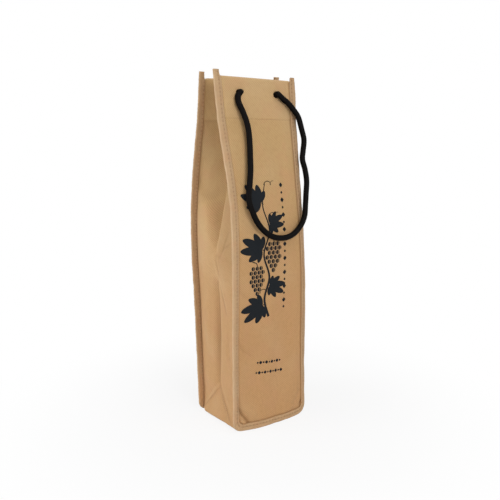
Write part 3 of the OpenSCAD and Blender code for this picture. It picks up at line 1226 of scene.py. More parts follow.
@dataclass
class SideStrip:
    """The one long cloth that makes both sides and the base, folded in at the mouth.

    Attributes:
        form: The bag's form.
        panels: The panels that it is sewn to.
        inset: How far each side's middle stands in, over its height.
        bow: How far each half of a side bows out, over its height, for the front and the back half.
        ridge: The share of each half that stays flat beside its seam, over its height.
        fold_z: Height of the top of the folded triangle at each end of the base.
        inner_half: Half the strip's flat width between its seams.
        allowance: Width of each seam allowance.
        lay: Depth of the allowance's middle behind a panel's outer face.
        rise: How far the base's ends lift off the floor towards the front.
        swell: How far the base's ends swell out of the bag, at the front and at the back.
        swell_fade: The share of each half over which the swelling fades towards its seam.
        swell_reach: Height over which the swelling fades.
        softness: How softly each half bends from flat into the fold.
        base_flat: The share of the base's half-width that lies flat.
        floor_gap: Height of the base's middle over the floor.
        waves: Height of each set of ripples, their length along and across, and their seed.
        fold: Radius of the fold at the mouth, to the middle of the cloth.
        inner_share: The share of the grid's columns that lie between the seams.
        columns: How many faces the cloth has across.
        rows: How many faces it has from mouth to mouth.
        folds: The creases pressed into it, in millimetres across the strip and up, with heights on the left negative.
    """

    form: BagForm
    panels: dict[Face, Panel]
    inset: dict[Side, Profile] = field(default_factory=lambda: {
        Side.LEFT: Profile((
            (0, 0), (38, 3.8), (60, 4.0), (110, 4.0), (140, 3.6), (160, 1.2), (176, -1.8), (185, 0.8),
            (200, 6.2), (218, 12.5), (232, 17), (246, 20.5), (262, 23.5), (295, 27), (325, 28.8), (355, 30),
        )),
        Side.RIGHT: Profile((
            (0, 0), (38, 3.6), (80, 4.0), (120, 4.0), (150, 2.4), (168, -1.5), (180, 1.6), (200, 7.0),
            (215, 11), (240, 17.5), (268, 22.5), (300, 26.5), (328, 28.6), (355, 30),
        )),
    })
    bow: dict[Face, Profile] = field(default_factory=lambda: {
        Face.FRONT: Profile((
            (0, 0.4), (50, 1.0), (120, 1.6), (160, 2.0), (190, 2.6), (218, 3.0), (250, 3.0), (290, 2.6), (355, 2.4),
        )),
        Face.BACK: Profile((
            (0, 0.6), (50, 2.0), (130, 2.6), (170, 3.0), (205, 3.4), (228, 1.6), (250, 1.5), (300, 2.0), (355, 2.6),
        )),
    })
    ridge: dict[Face, Profile] = field(default_factory=lambda: {
        Face.FRONT: Profile((
            (0, 0), (170, 0), (183, 0.9), (200, 0.75), (218, 0.53), (232, 0.4), (246, 0.25), (275, 0.12), (355, 0.04),
        )),
        Face.BACK: Profile((
            (0, 0), (170, 0), (182, 0.8), (200, 0.7), (222, 0.58), (234, 0.3), (244, 0.02), (262, 0), (355, 0),
        )),
    })
    fold_z: float = 38.0
    inner_half: float = 38.5
    allowance: float = 6.0
    lay: float = 1.0
    rise: float = 0.4
    swell: Pair = (1.3, 3.6)
    swell_fade: dict[Face, float] = field(default_factory=lambda: {Face.FRONT: 0.14, Face.BACK: 0.3})
    swell_reach: float = 11.0
    softness: dict[Face, float] = field(default_factory=lambda: {Face.FRONT: 0.05, Face.BACK: 0.3})
    base_flat: float = 0.93
    floor_gap: float = 0.3
    waves: tuple[tuple[float, float, float, float], ...] = ((0.9, 34, 15, 3.1), (0.35, 12, 8, 9.4))
    fold: float = 0.38
    inner_share: float = 0.86
    columns: int = 78
    rows: int = 520
    folds: Folds = field(default_factory=lambda: Folds((
        Crease((3, -35), (31, -6), 1.8, 1.2, -0.6), Crease((2, -35), (-26, -5), 1.8, 1.1, -1.0),
        Crease((2.5, -31), (-17, -7), 4.5, -0.7, -0.45), Crease((6, -38), (31, -11), 2.6, -0.6, 0.4),
        Crease((-1, -42), (-26, -14), 3.0, 0.5, 0.35), Crease((3.2, -36), (2.6, -152), 5.0, -2.9),
        Crease((3.8, -36), (2.8, -150), 1.3, -0.5, -1.0), Crease((6.5, -40), (5.5, -148), 4.0, 0, -0.25),
        Crease((1.6, -39), (0.8, -148), 1.4, 0.4, 0.6), Crease((3, -181), (0, -150), 1.2, 0.5, 0.45),
        Crease((-2, -180), (-3.5, -152), 1.6, -0.6, -0.5), Crease((-1, -150), (-16, -120), 1.6, -1.1, -0.7),
        Crease((-4, -154), (-19, -126), 2.0, 0.8, 0.3), Crease((-3, -184), (-29, -246), 1.2, 0.3, 0.45),
        Crease((-9, -178), (-27, -206), 4.0, -1.2, -0.4), Crease((-14, -186), (-31, -196), 3.0, -0.7, -0.3),
        Crease((22, -60), (18, -140), 4.0, 0.9), Crease((-20, -62), (-24, -112), 4.0, -0.8),
        Crease((-26, -50), (-12, -92), 3.0, 0.6), Crease((28, -262), (6, -286), 6.0, 0.8),
        Crease((0, 38), (-30, 6), 1.5, 1.1, -0.5), Crease((0, 38), (30, 6), 1.5, 1.1, -0.5),
        Crease((0, 40), (0, 148), 5.0, -2.4), Crease((-0.6, 40), (-0.4, 146), 1.2, -0.5, -0.8),
        Crease((4, 160), (28, 126), 2.4, 0.7, 0.3), Crease((-5, 200), (-34, 228), 6.0, -0.8),
    )))

    @property
    def corner_run(self) -> float:
        """Length of the seam round a bottom corner."""
        return self.form.seam_radius * math.pi / 2

    @property
    def base_run(self) -> float:
        """Half the length of the straight seam across the base."""
        return self.form.seam_half - self.form.seam_radius

    @property
    def top_run(self) -> float:
        """Distance from the base's middle to the mouth, along the seam."""
        return self.base_run + self.corner_run + self.form.height - self.form.low_z

    def station(self, along: float) -> Station:
        """Returns a cross-section of the strip.

        Args:
            along: Distance from the base's middle, along the seam.

        Returns:
            The cross-section there.
        """
        form = self.form
        side = Side.of(along)
        sign, run = side.value, abs(along)
        low_shift = form.edge_shift(side, form.low_z)
        if run <= self.base_run:
            share = run / self.base_run
            fold_x = (form.seam_half - form.fold_radius + low_shift) * share
            seam = (sign * (run + low_shift * share), form.rim)
            return Station(seam, (sign * fold_x, self.floor_gap), (0, -1), self.base_flat)
        turn = (run - self.base_run) / form.seam_radius
        if turn < math.pi / 2:
            seam = (sign * (self.base_run + low_shift + form.seam_radius * math.sin(turn)),
                    form.rim + form.seam_radius * (1 - math.cos(turn)))
            fold_x = form.seam_half - form.fold_radius + low_shift + form.fold_radius * math.sin(turn)
            middle = (sign * fold_x, self.floor_gap + form.fold_radius * (1 - math.cos(turn)))
            return Station(seam, middle, (sign * math.sin(turn), -math.cos(turn)), self.base_flat)
        z = form.low_z + run - self.base_run - self.corner_run
        share = min((z - form.low_z) / self.fold_z, 1)
        middle_z = mix(form.fold_radius, form.low_z + self.fold_z, share) if share < 1 else z
        seam_x = form.seam_half + form.edge_shift(side, z)
        inset = self.inset[side].at(middle_z)
        flat = self.base_flat * (1 - min((middle_z - form.fold_radius) / (self.fold_z - form.fold_radius), 1))
        return Station((sign * seam_x, z), (sign * (seam_x - inset), middle_z), (sign, 0), flat)

    def pattern_seam(self, along: float, out: float) -> Pair:
        """Returns a place on a panel's pattern.

        Args:
            along: Distance from the base's middle, along the seam.
            out: Distance outside the seam.

        Returns:
            The place across and up.
        """
        form = self.form
        sign, run = math.copysign(1, along), abs(along)
        if run <= self.base_run:
            return along, form.rim - out
        turn = (run - self.base_run) / form.seam_radius
        if turn < math.pi / 2:
            reach = form.seam_radius + out
            return sign * (self.base_run + reach * math.sin(turn)), form.low_z - reach * math.cos(turn)
        return sign * (form.seam_half + out), form.low_z + run - self.base_run - self.corner_run

    def surface(self, along: float, across: float) -> Vector:
        """Returns the middle of the cloth at a place on the pattern.

        Args:
            along: Distance from the base's middle, along the seam.
            across: Distance from the strip's middle line, towards the back if it is positive.

        Returns:
            The point, in millimetres.
        """
        form = self.form
        face = Face.BACK if across >= 0 else Face.FRONT
        at = self.station(along)
        away = abs(across) / self.inner_half
        panel = self.panels[face]
        if away > 1:
            out = abs(across) - self.inner_half
            over, z = self.pattern_seam(along, out)
            return panel.layer(over, z, self.lay) / MM
        reach = self.reach(at, away)
        z = mix(at.seam[1], at.middle[1], reach)
        side = Side.of(along)
        x = mix(at.seam[0] + side.value * panel.shift[side].at(at.seam[1]), at.middle[0], self.dip(face, z, reach))
        upright = abs(at.out[0])
        soft = math.sin(math.pi * away)
        side_shape = self.bow[face].at(z) * soft * (1 - at.flat) * upright
        wave = sum(height * ripple(along / run, across / over, seed) for height, run, over, seed in self.waves)
        side_shape += soft * wave * (0.35 + 0.65 * upright) * (0.25 if upright < 0.5 else 1)
        side_shape += min(3 * (1 - away) + 0.1, 1) * upright * self.folds.height(across, math.copysign(z, along))
        over, seam_z = self.pattern_seam(along, 0)
        seam_y = form.half_depth(max(seam_z, 0)) + panel.relief(over, seam_z) - self.lay
        outer = ease((abs(along) - 20) / 16)
        lift = self.rise * ease((1.2 - away * face.value) / 2.4) * hump(z, 0, 6) * outer
        swell = mix(*self.swell, ease((away * face.value + 0.8) / 1.6)) * ease((1 - away) / self.swell_fade[face])
        x += side.value * swell * hump(z, 0, self.swell_reach) * outer
        z = max(z + at.out[1] * min(side_shape, 0.0), self.floor_gap) + lift
        return Vector((x + at.out[0] * side_shape, face.value * away * seam_y, z))

    @staticmethod
    def reach(at: Station, away: float) -> float:
        """Returns the share of the way from the seam to the middle line at a place on a cross-section."""
        return min((1 - away) / (1 - at.flat), 1) if at.flat < 1 else 1

    def dip(self, face: Face, z: float, reach: float) -> float:
        """Returns how far in a half stands, which is flat beside its seam and then dips.

        Args:
            face: Which half it is.
            z: Height of the place.
            reach: The share of the way from the seam to the middle line.

        Returns:
            The share of the inset.
        """
        ridge = self.ridge[face].at(z)
        soft = min(self.softness[face], ridge)
        share = (reach - ridge) / (1 - ridge)
        if ridge and share < soft:
            return max(share + soft, 0) ** 2 / (4 * soft)
        return share

    def shade(self, across: float, along: float) -> float:
        """Returns how pale or dark the cloth is, with its painted shade and highlights.

        Args:
            across: Distance from the strip's middle line.
            along: Distance from the base's middle, along the seam.

        Returns:
            How pale it is where it is worn at the mouth or doubled in the hem, or painted pale on a ridge; how dark it
            is with painted shade if negative.
        """
        at = self.station(along)
        reach = self.reach(at, min(abs(across) / self.inner_half, 1))
        z = math.copysign(mix(at.seam[1], at.middle[1], reach), along)
        hem = self.top_run - self.form.hem
        return (
            max(hump(abs(along), self.top_run, 1.6), 0.3 * ease((abs(along) - hem) / 2))
            # Painted shade along the hem's lower edge.
            - 0.5 * hump(abs(along), hem + 1, 0.9)
            # Painted shade in the corner beside each seam.
            - 0.3 * hump(abs(across), self.inner_half, 0.6)
            # Painted shade over the upper part of the folded side, where it turns into the pocket.
            - 0.22 * ease((abs(z) - 240 + 0.46 * max(across, 0)) / 8)
            # Painted shade on the front half of the side, from the middle height up.
            - 0.3 * ease((abs(z) - 140) / 50) * ease((-across - 2) / 8)
            # Painted shade along the underside edge of the base.
            - 0.5 * ease((2.4 - abs(z)) / 1.6)
            # Painted shade in crease grooves and painted highlights on their ridges.
            + abs(at.out[0]) * self.folds.shade(across, z)
        )

    def layer(self, along: float, across: float, depth: float) -> Vector:
        """Returns a point inside the middle of the cloth.

        Args:
            along: Distance from the base's middle, along the seam.
            across: Distance from the strip's middle line.
            depth: How far inside it is, in millimetres.

        Returns:
            The point, in metres.
        """
        point = self.surface(along, across)
        if depth:
            step = 0.3
            run = self.surface(along + step, across) - self.surface(along - step, across)
            over = self.surface(along, across + step) - self.surface(along, across - step)
            inward = over.cross(run).normalized()
            if inward.dot(Vector((-point.x, 0, 0))) < 0:
                inward = -inward
            point = point + inward * depth
        return point * MM

    def place(self, across: float, along: float) -> Vector:
        """Returns the standing place of a place on the cut cloth, over the folds at both ends.

        Args:
            across: Distance from the strip's middle line.
            along: Distance from the base's middle, along the cloth.

        Returns:
            The point on the middle of the cloth.
        """
        fold = self.fold
        top = self.top_run - fold
        over = abs(along) - top
        if over <= 0:
            return self.layer(along, across, 0)
        end = math.copysign(1, along)
        turn = over / fold
        if turn < math.pi:
            return self.layer(end * (top + fold * math.sin(turn)), across, fold * (1 - math.cos(turn)))
        return self.layer(end * (top - over + math.pi * fold), across, 2 * fold)

    def across_of(self, share: float) -> float:
        """Spreads the columns, with closer ones by the seams.

        Args:
            share: Place of a column on the flat grid, from -1 to 1.

        Returns:
            Its place across the pattern.
        """
        part = abs(share) / self.inner_share
        if part <= 1:
            return math.copysign(self.inner_half * (1 - (1 - part) ** 1.3), share)
        return math.copysign(self.inner_half + self.allowance * (part - 1) / (1 / self.inner_share - 1), share)

    def sew(self, wardrobe: Wardrobe) -> Piece:
        """Makes the strip.

        Args:
            wardrobe: The bag's finishes.

        Returns:
            The finished piece.
        """
        form = self.form
        top = self.top_run - self.fold
        bm = Workshop.grid(self.columns, self.rows)
        for vert in bm.verts:
            vert.co = (self.across_of(vert.co.x), vert.co.y * top, 0)
        for end in (top, -top):
            Workshop.add_rows(bm, end, self.inner_half - 1.5, hem_steps(math.pi * self.fold, form.hem))
        paint_tone_and_shade(bm, lambda p: self.shade(p.x, p.y))
        Workshop.move(bm, self.place)
        piece = Workshop.finish(bm, "folded_side_strip")
        Workshop.thicken(piece, form.cloth)
        Workshop.settle(piece)
        give(piece, wardrobe.cloth)
        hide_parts("side_and_base_strip")
        return piece


@dataclass
class BoundSeam:
    """The folded tape round a panel's seam, and the row of stitches through it.

    Attributes:
        panel: The surface that it follows.
        cover: How far the outer leaf lies over the panel inside the seam.
        tape: Thickness of the tape.
        outer_lay: Depth of the outer leaf's middle, which is negative in front of the panel.
        inner_lay: Depth of the inner leaf's middle.
        tip: Distance of the fold outside the seam.
        inner_stop: Distance outside the seam at which the inner leaf stops.
        tabs: Height of the tape's ends over the mouth.
        radius: Radius of its line at the bottom corners.
        stitch_line: Distance of the stitches outside the seam.
        pitch: Distance from one stitch to the next.
        stitch_lift: Distance of a stitch's middle from the middle of the leaf that it lies on.
        pucker: How far the outer leaf rises between the stitches.
        ends_drawn: The share of its width by which the tape's ends are drawn in over the mouth.
        wear_and_shade: How pale each side's fold is, as worn cloth, and its whole width, or how dark they are with
            painted shade if negative.
        columns: How many faces the tape has across.
        seed: The seed of its waviness.
    """

    panel: Panel
    cover: float = 0.8
    tape: float = 0.5
    outer_lay: float = -0.35
    inner_lay: float = 1.65
    tip: float = 6.6
    inner_stop: float = 0.5
    tabs: dict[Side, float] = field(default_factory=lambda: {Side.LEFT: 6.0, Side.RIGHT: 6.5})
    radius: float = 6.0
    stitch_line: float = 1.7
    pitch: float = 3.9
    stitch_lift: float = 0.36
    pucker: float = 0.24
    ends_drawn: float = 0.24
    wear_and_shade: dict[Side, Pair] = field(default_factory=lambda: {Side.LEFT: (0.35, 0), Side.RIGHT: (-0.3, -0.25)})
    columns: int = 20
    seed: float = 0.0

    def __post_init__(self) -> None:
        """Lays out the line that the tape follows."""
        form = self.panel.form
        self.outline = Outline(form, {side: form.height + tab for side, tab in self.tabs.items()}, self.radius)

    @property
    def fold(self) -> float:
        """Radius of the fold, to the middle of the tape."""
        return (self.inner_lay - self.outer_lay) / 2

    @property
    def leaf(self) -> float:
        """Width of the outer leaf up to the fold."""
        return self.tip - self.fold + self.cover

    @property
    def width(self) -> float:
        """Width of the tape before it is folded."""
        return self.leaf + math.pi * self.fold + self.tip - self.fold - self.inner_stop

    def pinch(self, along: float, across: float) -> float:
        """Returns how near a place on the tape is to a needle hole.

        Args:
            along: Distance from the tape's left end.
            across: Distance from the edge of its outer leaf.

        Returns:
            A share from 0 to 1.
        """
        lines = (self.cover + self.stitch_line, self.width - self.stitch_line + self.inner_stop)
        near = max(hump(across, line, 0.75) for line in lines)
        return near * (0.5 - 0.5 * math.cos(2 * math.pi * along / self.pitch)) ** 3

    def place(self, along: float, across: float) -> Vector:
        """Returns the standing place of a place on the tape.

        Args:
            along: Distance from the tape's left end.
            across: Distance from the edge of its outer leaf.

        Returns:
            The point on the middle of the tape.
        """
        pull = 0.5 + 0.5 * math.cos(2 * math.pi * along / self.pitch)
        rise = self.pucker * pull * hump(across - self.cover, self.stitch_line, 2.2) - 0.12 * self.pinch(along, across)
        if across < self.leaf:
            outside, depth = across - self.cover, self.outer_lay - rise
        elif across < self.leaf + math.pi * self.fold:
            turn = (across - self.leaf) / self.fold
            outside = self.tip - self.fold + self.fold * math.sin(turn)
            depth = self.outer_lay + self.fold * (1 - math.cos(turn))
        else:
            outside = self.tip - self.fold - (across - self.leaf - math.pi * self.fold)
            depth = self.inner_lay + 0.2 * pull * hump(outside, self.stitch_line, 2.2)
        edge = ease((outside - 1.5) / 4)
        outside += edge * (0.3 * ripple(along / 7, 0.5, self.seed) + 0.12 * pull)
        depth += 0.45 * edge * ripple(along / 16, 2.5, self.seed + 3)
        _, z = self.outline.at(along, 0)
        drawn = self.ends_drawn * ease((z - self.panel.form.height + 3) / 6)
        point = self.panel.layer(*self.outline.at(along, mix(outside, self.tip, drawn)), depth)
        point.z = max(point.z, self.tape / 2 * MM)
        return point

    def sew_tape(self, wardrobe: Wardrobe, node: str) -> Piece:
        """Makes the folded tape.

        Args:
            wardrobe: The bag's finishes.
            node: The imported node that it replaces.

        Returns:
            The finished piece.
        """
        length = self.outline.length
        bm = Workshop.grid(int(length), self.columns)
        for vert in bm.verts:
            vert.co = ((vert.co.x + 1) / 2 * length, (vert.co.y + 1) / 2 * self.width, 0)
        middle = self.leaf + math.pi * self.fold / 2
        left = self.outline.half(Side.LEFT)

        def tone(p: Vector) -> float:
            """Returns how pale or dark the tape is, with its painted shade.

            Args:
                p: The place on its pattern.

            Returns:
                How pale it is at a worn fold, or how dark it is with painted shade if negative.
            """
            # Folds are worn pale where the share is positive; a negative share paints shade on a fold or along the
            # tape's width where it turns from the light. Needle holes and the stitch line get painted shade.
            rim, broad = self.wear_and_shade[Side.LEFT if p.x < left else Side.RIGHT]
            return (
                rim * hump(p.y, middle, 1.4) + broad * ease((abs(p.x - left) - 60) / 60) - 0.6 * self.pinch(p.x, p.y)
                - 0.45 * hump(p.y, self.cover + self.stitch_line, 0.8)
            )

        paint_tone_and_shade(bm, tone)
        Workshop.move(bm, self.place)
        piece = Workshop.finish(bm, f"{self.panel.face.name.lower()}_seam_tape")
        Workshop.thicken(piece, self.tape)
        Workshop.settle(piece)
        give(piece, wardrobe.tape)
        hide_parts(node)
        self.width * MM
        return piece

    def sew_stitches(self, wardrobe: Wardrobe, node: str) -> Piece:
        """Makes the stitches on both faces of the tape.

        Args:
            wardrobe: The bag's finishes.
            node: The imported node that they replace.

        Returns:
            The finished piece.
        """
        places = []
        for k in range(int((self.outline.length - 4) / self.pitch)):
            along = (k + 1) * self.pitch
            here = self.outline.at(along, self.stitch_line)
            near = self.outline.at(along + 0.4, self.stitch_line)
            _, _, _, out = self.panel.frame(*here)
            run = (self.panel.skin(*near) - self.panel.skin(*here)).normalized()
            for depth in (self.outer_lay - self.stitch_lift, self.inner_lay + self.stitch_lift):
                places.append(stitch_place(self.panel.layer(*here, depth), run, out, self.pitch * STITCH_HALF))
        bm = Workshop.stamp(add_stitch, places)
        piece = Workshop.finish(bm, f"{self.panel.face.name.lower()}_seam_stitches")
        give(piece, wardrobe.thread)
        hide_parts(node)
        return piece


def stitch_place(centre: Vector, run: Vector, out: Vector, half: float) -> Matrix:
    """Returns the place and size of one stitch that lies along a direction on the cloth.

    Args:
        centre: Its middle, in metres.
        run: The direction along it.
        out: The direction away from the cloth.
        half: Half its length in millimetres.

    Returns:
        The matrix that takes a unit ball to the stitch.
    """
    turn = Matrix((out.cross(run).normalized(), out, run)).transposed().to_4x4()
    return Matrix.Translation(centre) @ turn @ Matrix.Diagonal((*(size * MM for size in THREAD), half * MM, 1))


def add_stitch(bm: Mesh, place: Matrix) -> None:
    """Adds one stitch of thread at a place."""
    bmesh.ops.create_uvsphere(bm, u_segments=6, v_segments=5, radius=1, matrix=place)


@dataclass
class HemStitches:
    """The rows of stitches that hold the hems, near their lower edges.

    Attributes:
        panels: The panels that have a hem.
        half: Half the row's length.
        pitch: Distance from one stitch to the next.
        inner_lay: Depth of the hem's inner face.
    """

    panels: tuple[Panel, ...]
    half: float = 37.0
    pitch: float = 4.2
    inner_lay: float = 1.36

    def sew(self, wardrobe: Wardrobe) -> Piece:
        """Makes the rows on both faces of each panel.

        Args:
            wardrobe: The bag's finishes.

        Returns:
            The finished piece.
        """
        places = []
        count = int(2 * self.half / self.pitch)
        for panel in self.panels:
            z = panel.form.height - panel.form.hem + panel.stitch_up
            for k in range(count):
                across = (k + 0.5 - count / 2) * self.pitch
                _, right, _, out = panel.frame(across, z)
                for depth in (-0.08, self.inner_lay + 0.08):
                    places.append(stitch_place(panel.layer(across, z, depth), right, out, self.pitch * STITCH_HALF))
        bm = Workshop.stamp(add_stitch, places)
        piece = Workshop.finish(bm, "hem_stitches")
        give(piece, wardrobe.thread)
        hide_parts("hem_thread")
        return piece


def spline(points: Sequence[Vector], share: float) -> Vector:
    """Returns a point of the smooth curve through some points.

    Args:
        points: The points that it passes through.
        share: Place along them, counted in points.

    Returns:
        The point on a Catmull-Rom curve.
    """
    k = min(max(int(share), 0), len(points) - 2)
    t = share - k
    a, b, c, d = (points[min(max(k + i, 0), len(points) - 1)] for i in (-1, 0, 1, 2))
    return 0.5 * (2 * b + (c - a) * t + (2 * a - 5 * b + 4 * c - d) * t**2 + (3 * b - a - 3 * c + d) * t**3)


def even_path(points: Sequence[Vector], step: float) -> list[Vector]:
    """Returns points at even steps along the smooth curve through some points.

    Args:
        points: The points that it passes through.
        step: About how far the steps are apart.

    Returns:
        The even points.
    """
    fine = [spline(points, k / 24) for k in range(24 * (len(points) - 1) + 1)]
    total = sum((b - a).length for a, b in zip(fine, fine[1:]))
    gap = total / round(total / step)
    made, left = [fine[0].copy()], gap
    for a, b in zip(fine, fine[1:]):
        run = (b - a).length
        start = 0.0
        while run - start >= left - 1e-9:
            start += left
            made.append(a.lerp(b, min(start / run, 1)))
            left = gap
        left -= run - start
    if (made[-1] - fine[-1]).length > gap / 2:
        made.append(fine[-1].copy())
    return made


@dataclass
class BraidedTube:
    """A round cord plaited from strands that cross both ways.

    Attributes:
        radius: Its radius in metres.
        strands: How many strands wind each way.
        lay: Length in which a strand winds once round, in metres.
        relief: Share of the radius by which the strands stand out.
        around: How many points go round it.
    """

    radius: float
    strands: int = 8
    lay: float = 0.017
    relief: float = 0.09
    around: int = 48

    def build(self, points: Sequence[Vector], name: str, closed: bool = False) -> Piece:
        """Makes the cord along some points.

        Args:
            points: Points of its centre line, at even steps.
            name: The piece's name.
            closed: Whether its ends meet. Open ends are closed with caps.

        Returns:
            The finished piece.
        """
        count = len(points)
        bm = bmesh.new()
        pattern = bm.loops.layers.uv.new("Pattern")
        tone_and_painted_shade = bm.verts.layers.float.new("tone_and_painted_shade")
        normal = Vector((0.3, -1, 0.2))
        rings, run = [], 0.0
        for k, point in enumerate(points):
            ahead = points[(k + 1) % count] if closed else points[min(k + 1, count - 1)]
            back = points[k - 1] if closed else points[max(k - 1, 0)]
            tangent = (ahead - back).normalized()
            normal = (normal - tangent * normal.dot(tangent)).normalized()
            over = tangent.cross(normal)
            run += (point - points[k - 1]).length if k else 0
            ring = []
            for j in range(self.around):
                turn = math.tau * j / self.around
                one = math.cos(self.strands / 2 * (turn - math.tau * run / self.lay))
                other = math.cos(self.strands / 2 * (turn + math.tau * run / self.lay) + math.pi / 2)
                raised = max(abs(one), abs(other))
                reach = self.radius * (1 - self.relief * (1 - raised) * 3.2)
                vert = bm.verts.new(point + (normal * math.cos(turn) + over * math.sin(turn)) * reach)
                # Marks the raised strands, so that the finish paints shade between them.
                vert[tone_and_painted_shade] = ease((raised - 0.72) / 0.28)
                ring.append(vert)
            rings.append((run, ring))
        spans = list(zip(rings, rings[1:])) + ([(rings[-1], rings[0])] if closed else [])
        for (low_run, low), (high_run, high) in spans:
            for j in range(self.around):
                n = (j + 1) % self.around
                face = bm.faces.new((low[j], low[n], high[n], high[j]))
                corners = ((low_run, j), (low_run, j + 1), (high_run, j + 1), (high_run, j))
                for loop, (place, side) in zip(face.loops, corners):
                    loop[pattern].uv = (place, side / self.around * math.tau * self.radius)
        if not closed:
            bm.faces.new(rings[0][1][::-1])
            bm.faces.new(rings[-1][1])
        return Workshop.finish(bm, name)


@dataclass
class RopeHandle:
    """The rope handle that hangs over one panel, and the knots behind it.

    Attributes:
        panel: The panel that it hangs from.
        diameter: The rope's diameter in millimetres.
        hole_half: Half the distance between its holes.
        hole_z: Height of the holes.
        lead: Distances from each hole, into the bag, of the points on the way through it.
        bend: Distances from the holes, outwards and down, of two points that plait works out but does not use.
        knot_depth: Distance of the knots' middles behind the panel.
        knot_rope: Radius of the rope where it is pulled tight in a knot.
        hanging: Points of the hanging loop, in millimetres, from the left hole to the right one.
    """

    panel: Panel
    diameter: float = 5.8
    hole_half: float = 22.5
    hole_z: float = 340.0
    lead: tuple[float, ...] = (2.5, 0, -1.9, -3.8)
    bend: Pair = (0.9, 4.0)
    knot_depth: float = 4.7
    knot_rope: float = 2.15
    hanging: tuple[Triple, ...] = (
        (-24.5, -20, 338.5), (-26.3, -20.7, 336), (-26.5, -21.3, 332), (-25.5, -22.5, 327.5),
        (-23.5, -23.5, 323), (-22, -25, 318), (-20.5, -27, 311), (-20, -29.5, 302),
        (-21, -32.5, 290), (-23, -36, 276), (-25, -39, 264), (-27.8, -41.5, 251),
        (-30, -43, 242), (-29.8, -44, 234.5), (-27.2, -45, 226.5), (-23, -45.5, 217.5),
        (-17.5, -46, 210), (-10.5, -46, 204), (-3, -46, 200), (5, -46, 198),
        (13, -46.3, 197.8), (20.5, -46.3, 199.5), (27.5, -46, 203.5), (34, -45.7, 210),
        (38.5, -45, 218.5), (40.3, -44, 229), (42.7, -42, 241), (45, -40, 253),
        (44.8, -37.6, 264.5), (43.2, -35.2, 275), (46, -32.8, 284), (49.4, -30, 295),
        (48.3, -27.4, 306), (46, -25, 317.5), (41.6, -23.4, 324.5), (34.6, -21.8, 332),
        (28.5, -20.8, 336.3),
    )

    def hole(self, side: Side) -> tuple[Vector, Vector]:
        """Returns the middle of a hole and the direction into the bag, in millimetres."""
        point, _, _, out = self.panel.frame(side.value * self.hole_half, self.hole_z)
        return point / MM, -out

    def path(self) -> list[Vector]:
        """Finds the rope's centre line.

        Returns:
            Its points, in metres, from the left knot to the right one.
        """
        (left, into_left), (right, into_right) = self.hole(Side.LEFT), self.hole(Side.RIGHT)
        start = [left + into_left * d for d in self.lead]
        end = [right + into_right * d for d in self.lead[::-1]]
        return [p * MM for p in [*start, *(Vector(p) for p in self.hanging), *end]]

    def plait(self, wardrobe: Wardrobe, knots: Piece) -> Piece:
        """Makes the rope.

        Args:
            wardrobe: The bag's finishes.
            knots: The knots at its ends; not used.

        Returns:
            The finished piece.
        """
        line = even_path(self.path(), 0.0007)
        piece = BraidedTube(self.diameter / 2 * MM).build(line, "front_rope")
        give(piece, wardrobe.rope, body="")
        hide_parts("front_rope_loop", "front_rope_ends")
        (left, _), (right, _) = self.hole(Side.LEFT), self.hole(Side.RIGHT)
        up = Vector((0, 0, 1))
        way = ((right - left).cross(up).normalized() - up).normalized()
        start, end = (((left + right) / 2 + way * d) * MM for d in self.bend)
        tuple(start)
        tuple(end)
        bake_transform(piece)
        length = sum((b - a).length for a, b in zip(line, line[1:]))
        log.info("rope: %.1f mm of centre line", length / MM)
        tuple(self.hole(Side.LEFT)[0] * MM)
        [tuple(p) for p in line[::4]]
        return piece

    def tie(self, wardrobe: Wardrobe) -> Piece:
        """Makes the overhand knots that stop the rope behind the panel.

        Args:
            wardrobe: The bag's finishes.

        Returns:
            The finished piece.
        """
        parts = []
        for side in Side:
            point, into = self.hole(side)
            _, right, up, _ = self.panel.frame(side.value * self.hole_half, self.hole_z)
            centre = point + into * self.knot_depth
            loop = []
            for k in range(150):
                t = math.tau * k / 150
                radial = 2.35 + 1.35 * math.cos(3 * t)
                loop.append((
                    centre + right * radial * math.cos(2 * t) + up * radial * math.sin(2 * t)
                    + into * 1.25 * math.sin(3 * t)
                ) * MM)
            tube = BraidedTube(self.knot_rope * MM, lay=0.013, around=32)
            parts.append(tube.build(even_path([*loop, loop[0]], 0.0006)[:-1], f"knot_{side.name.lower()}", closed=True))
        bm = bmesh.new()
        for part in parts:
            bm.from_mesh(part.data)
            bpy.data.objects.remove(part)
        piece = Workshop.finish(bm, "front_rope_knot_pair")
        give(piece, wardrobe.rope)
        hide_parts("front_rope_knots")
        return piece


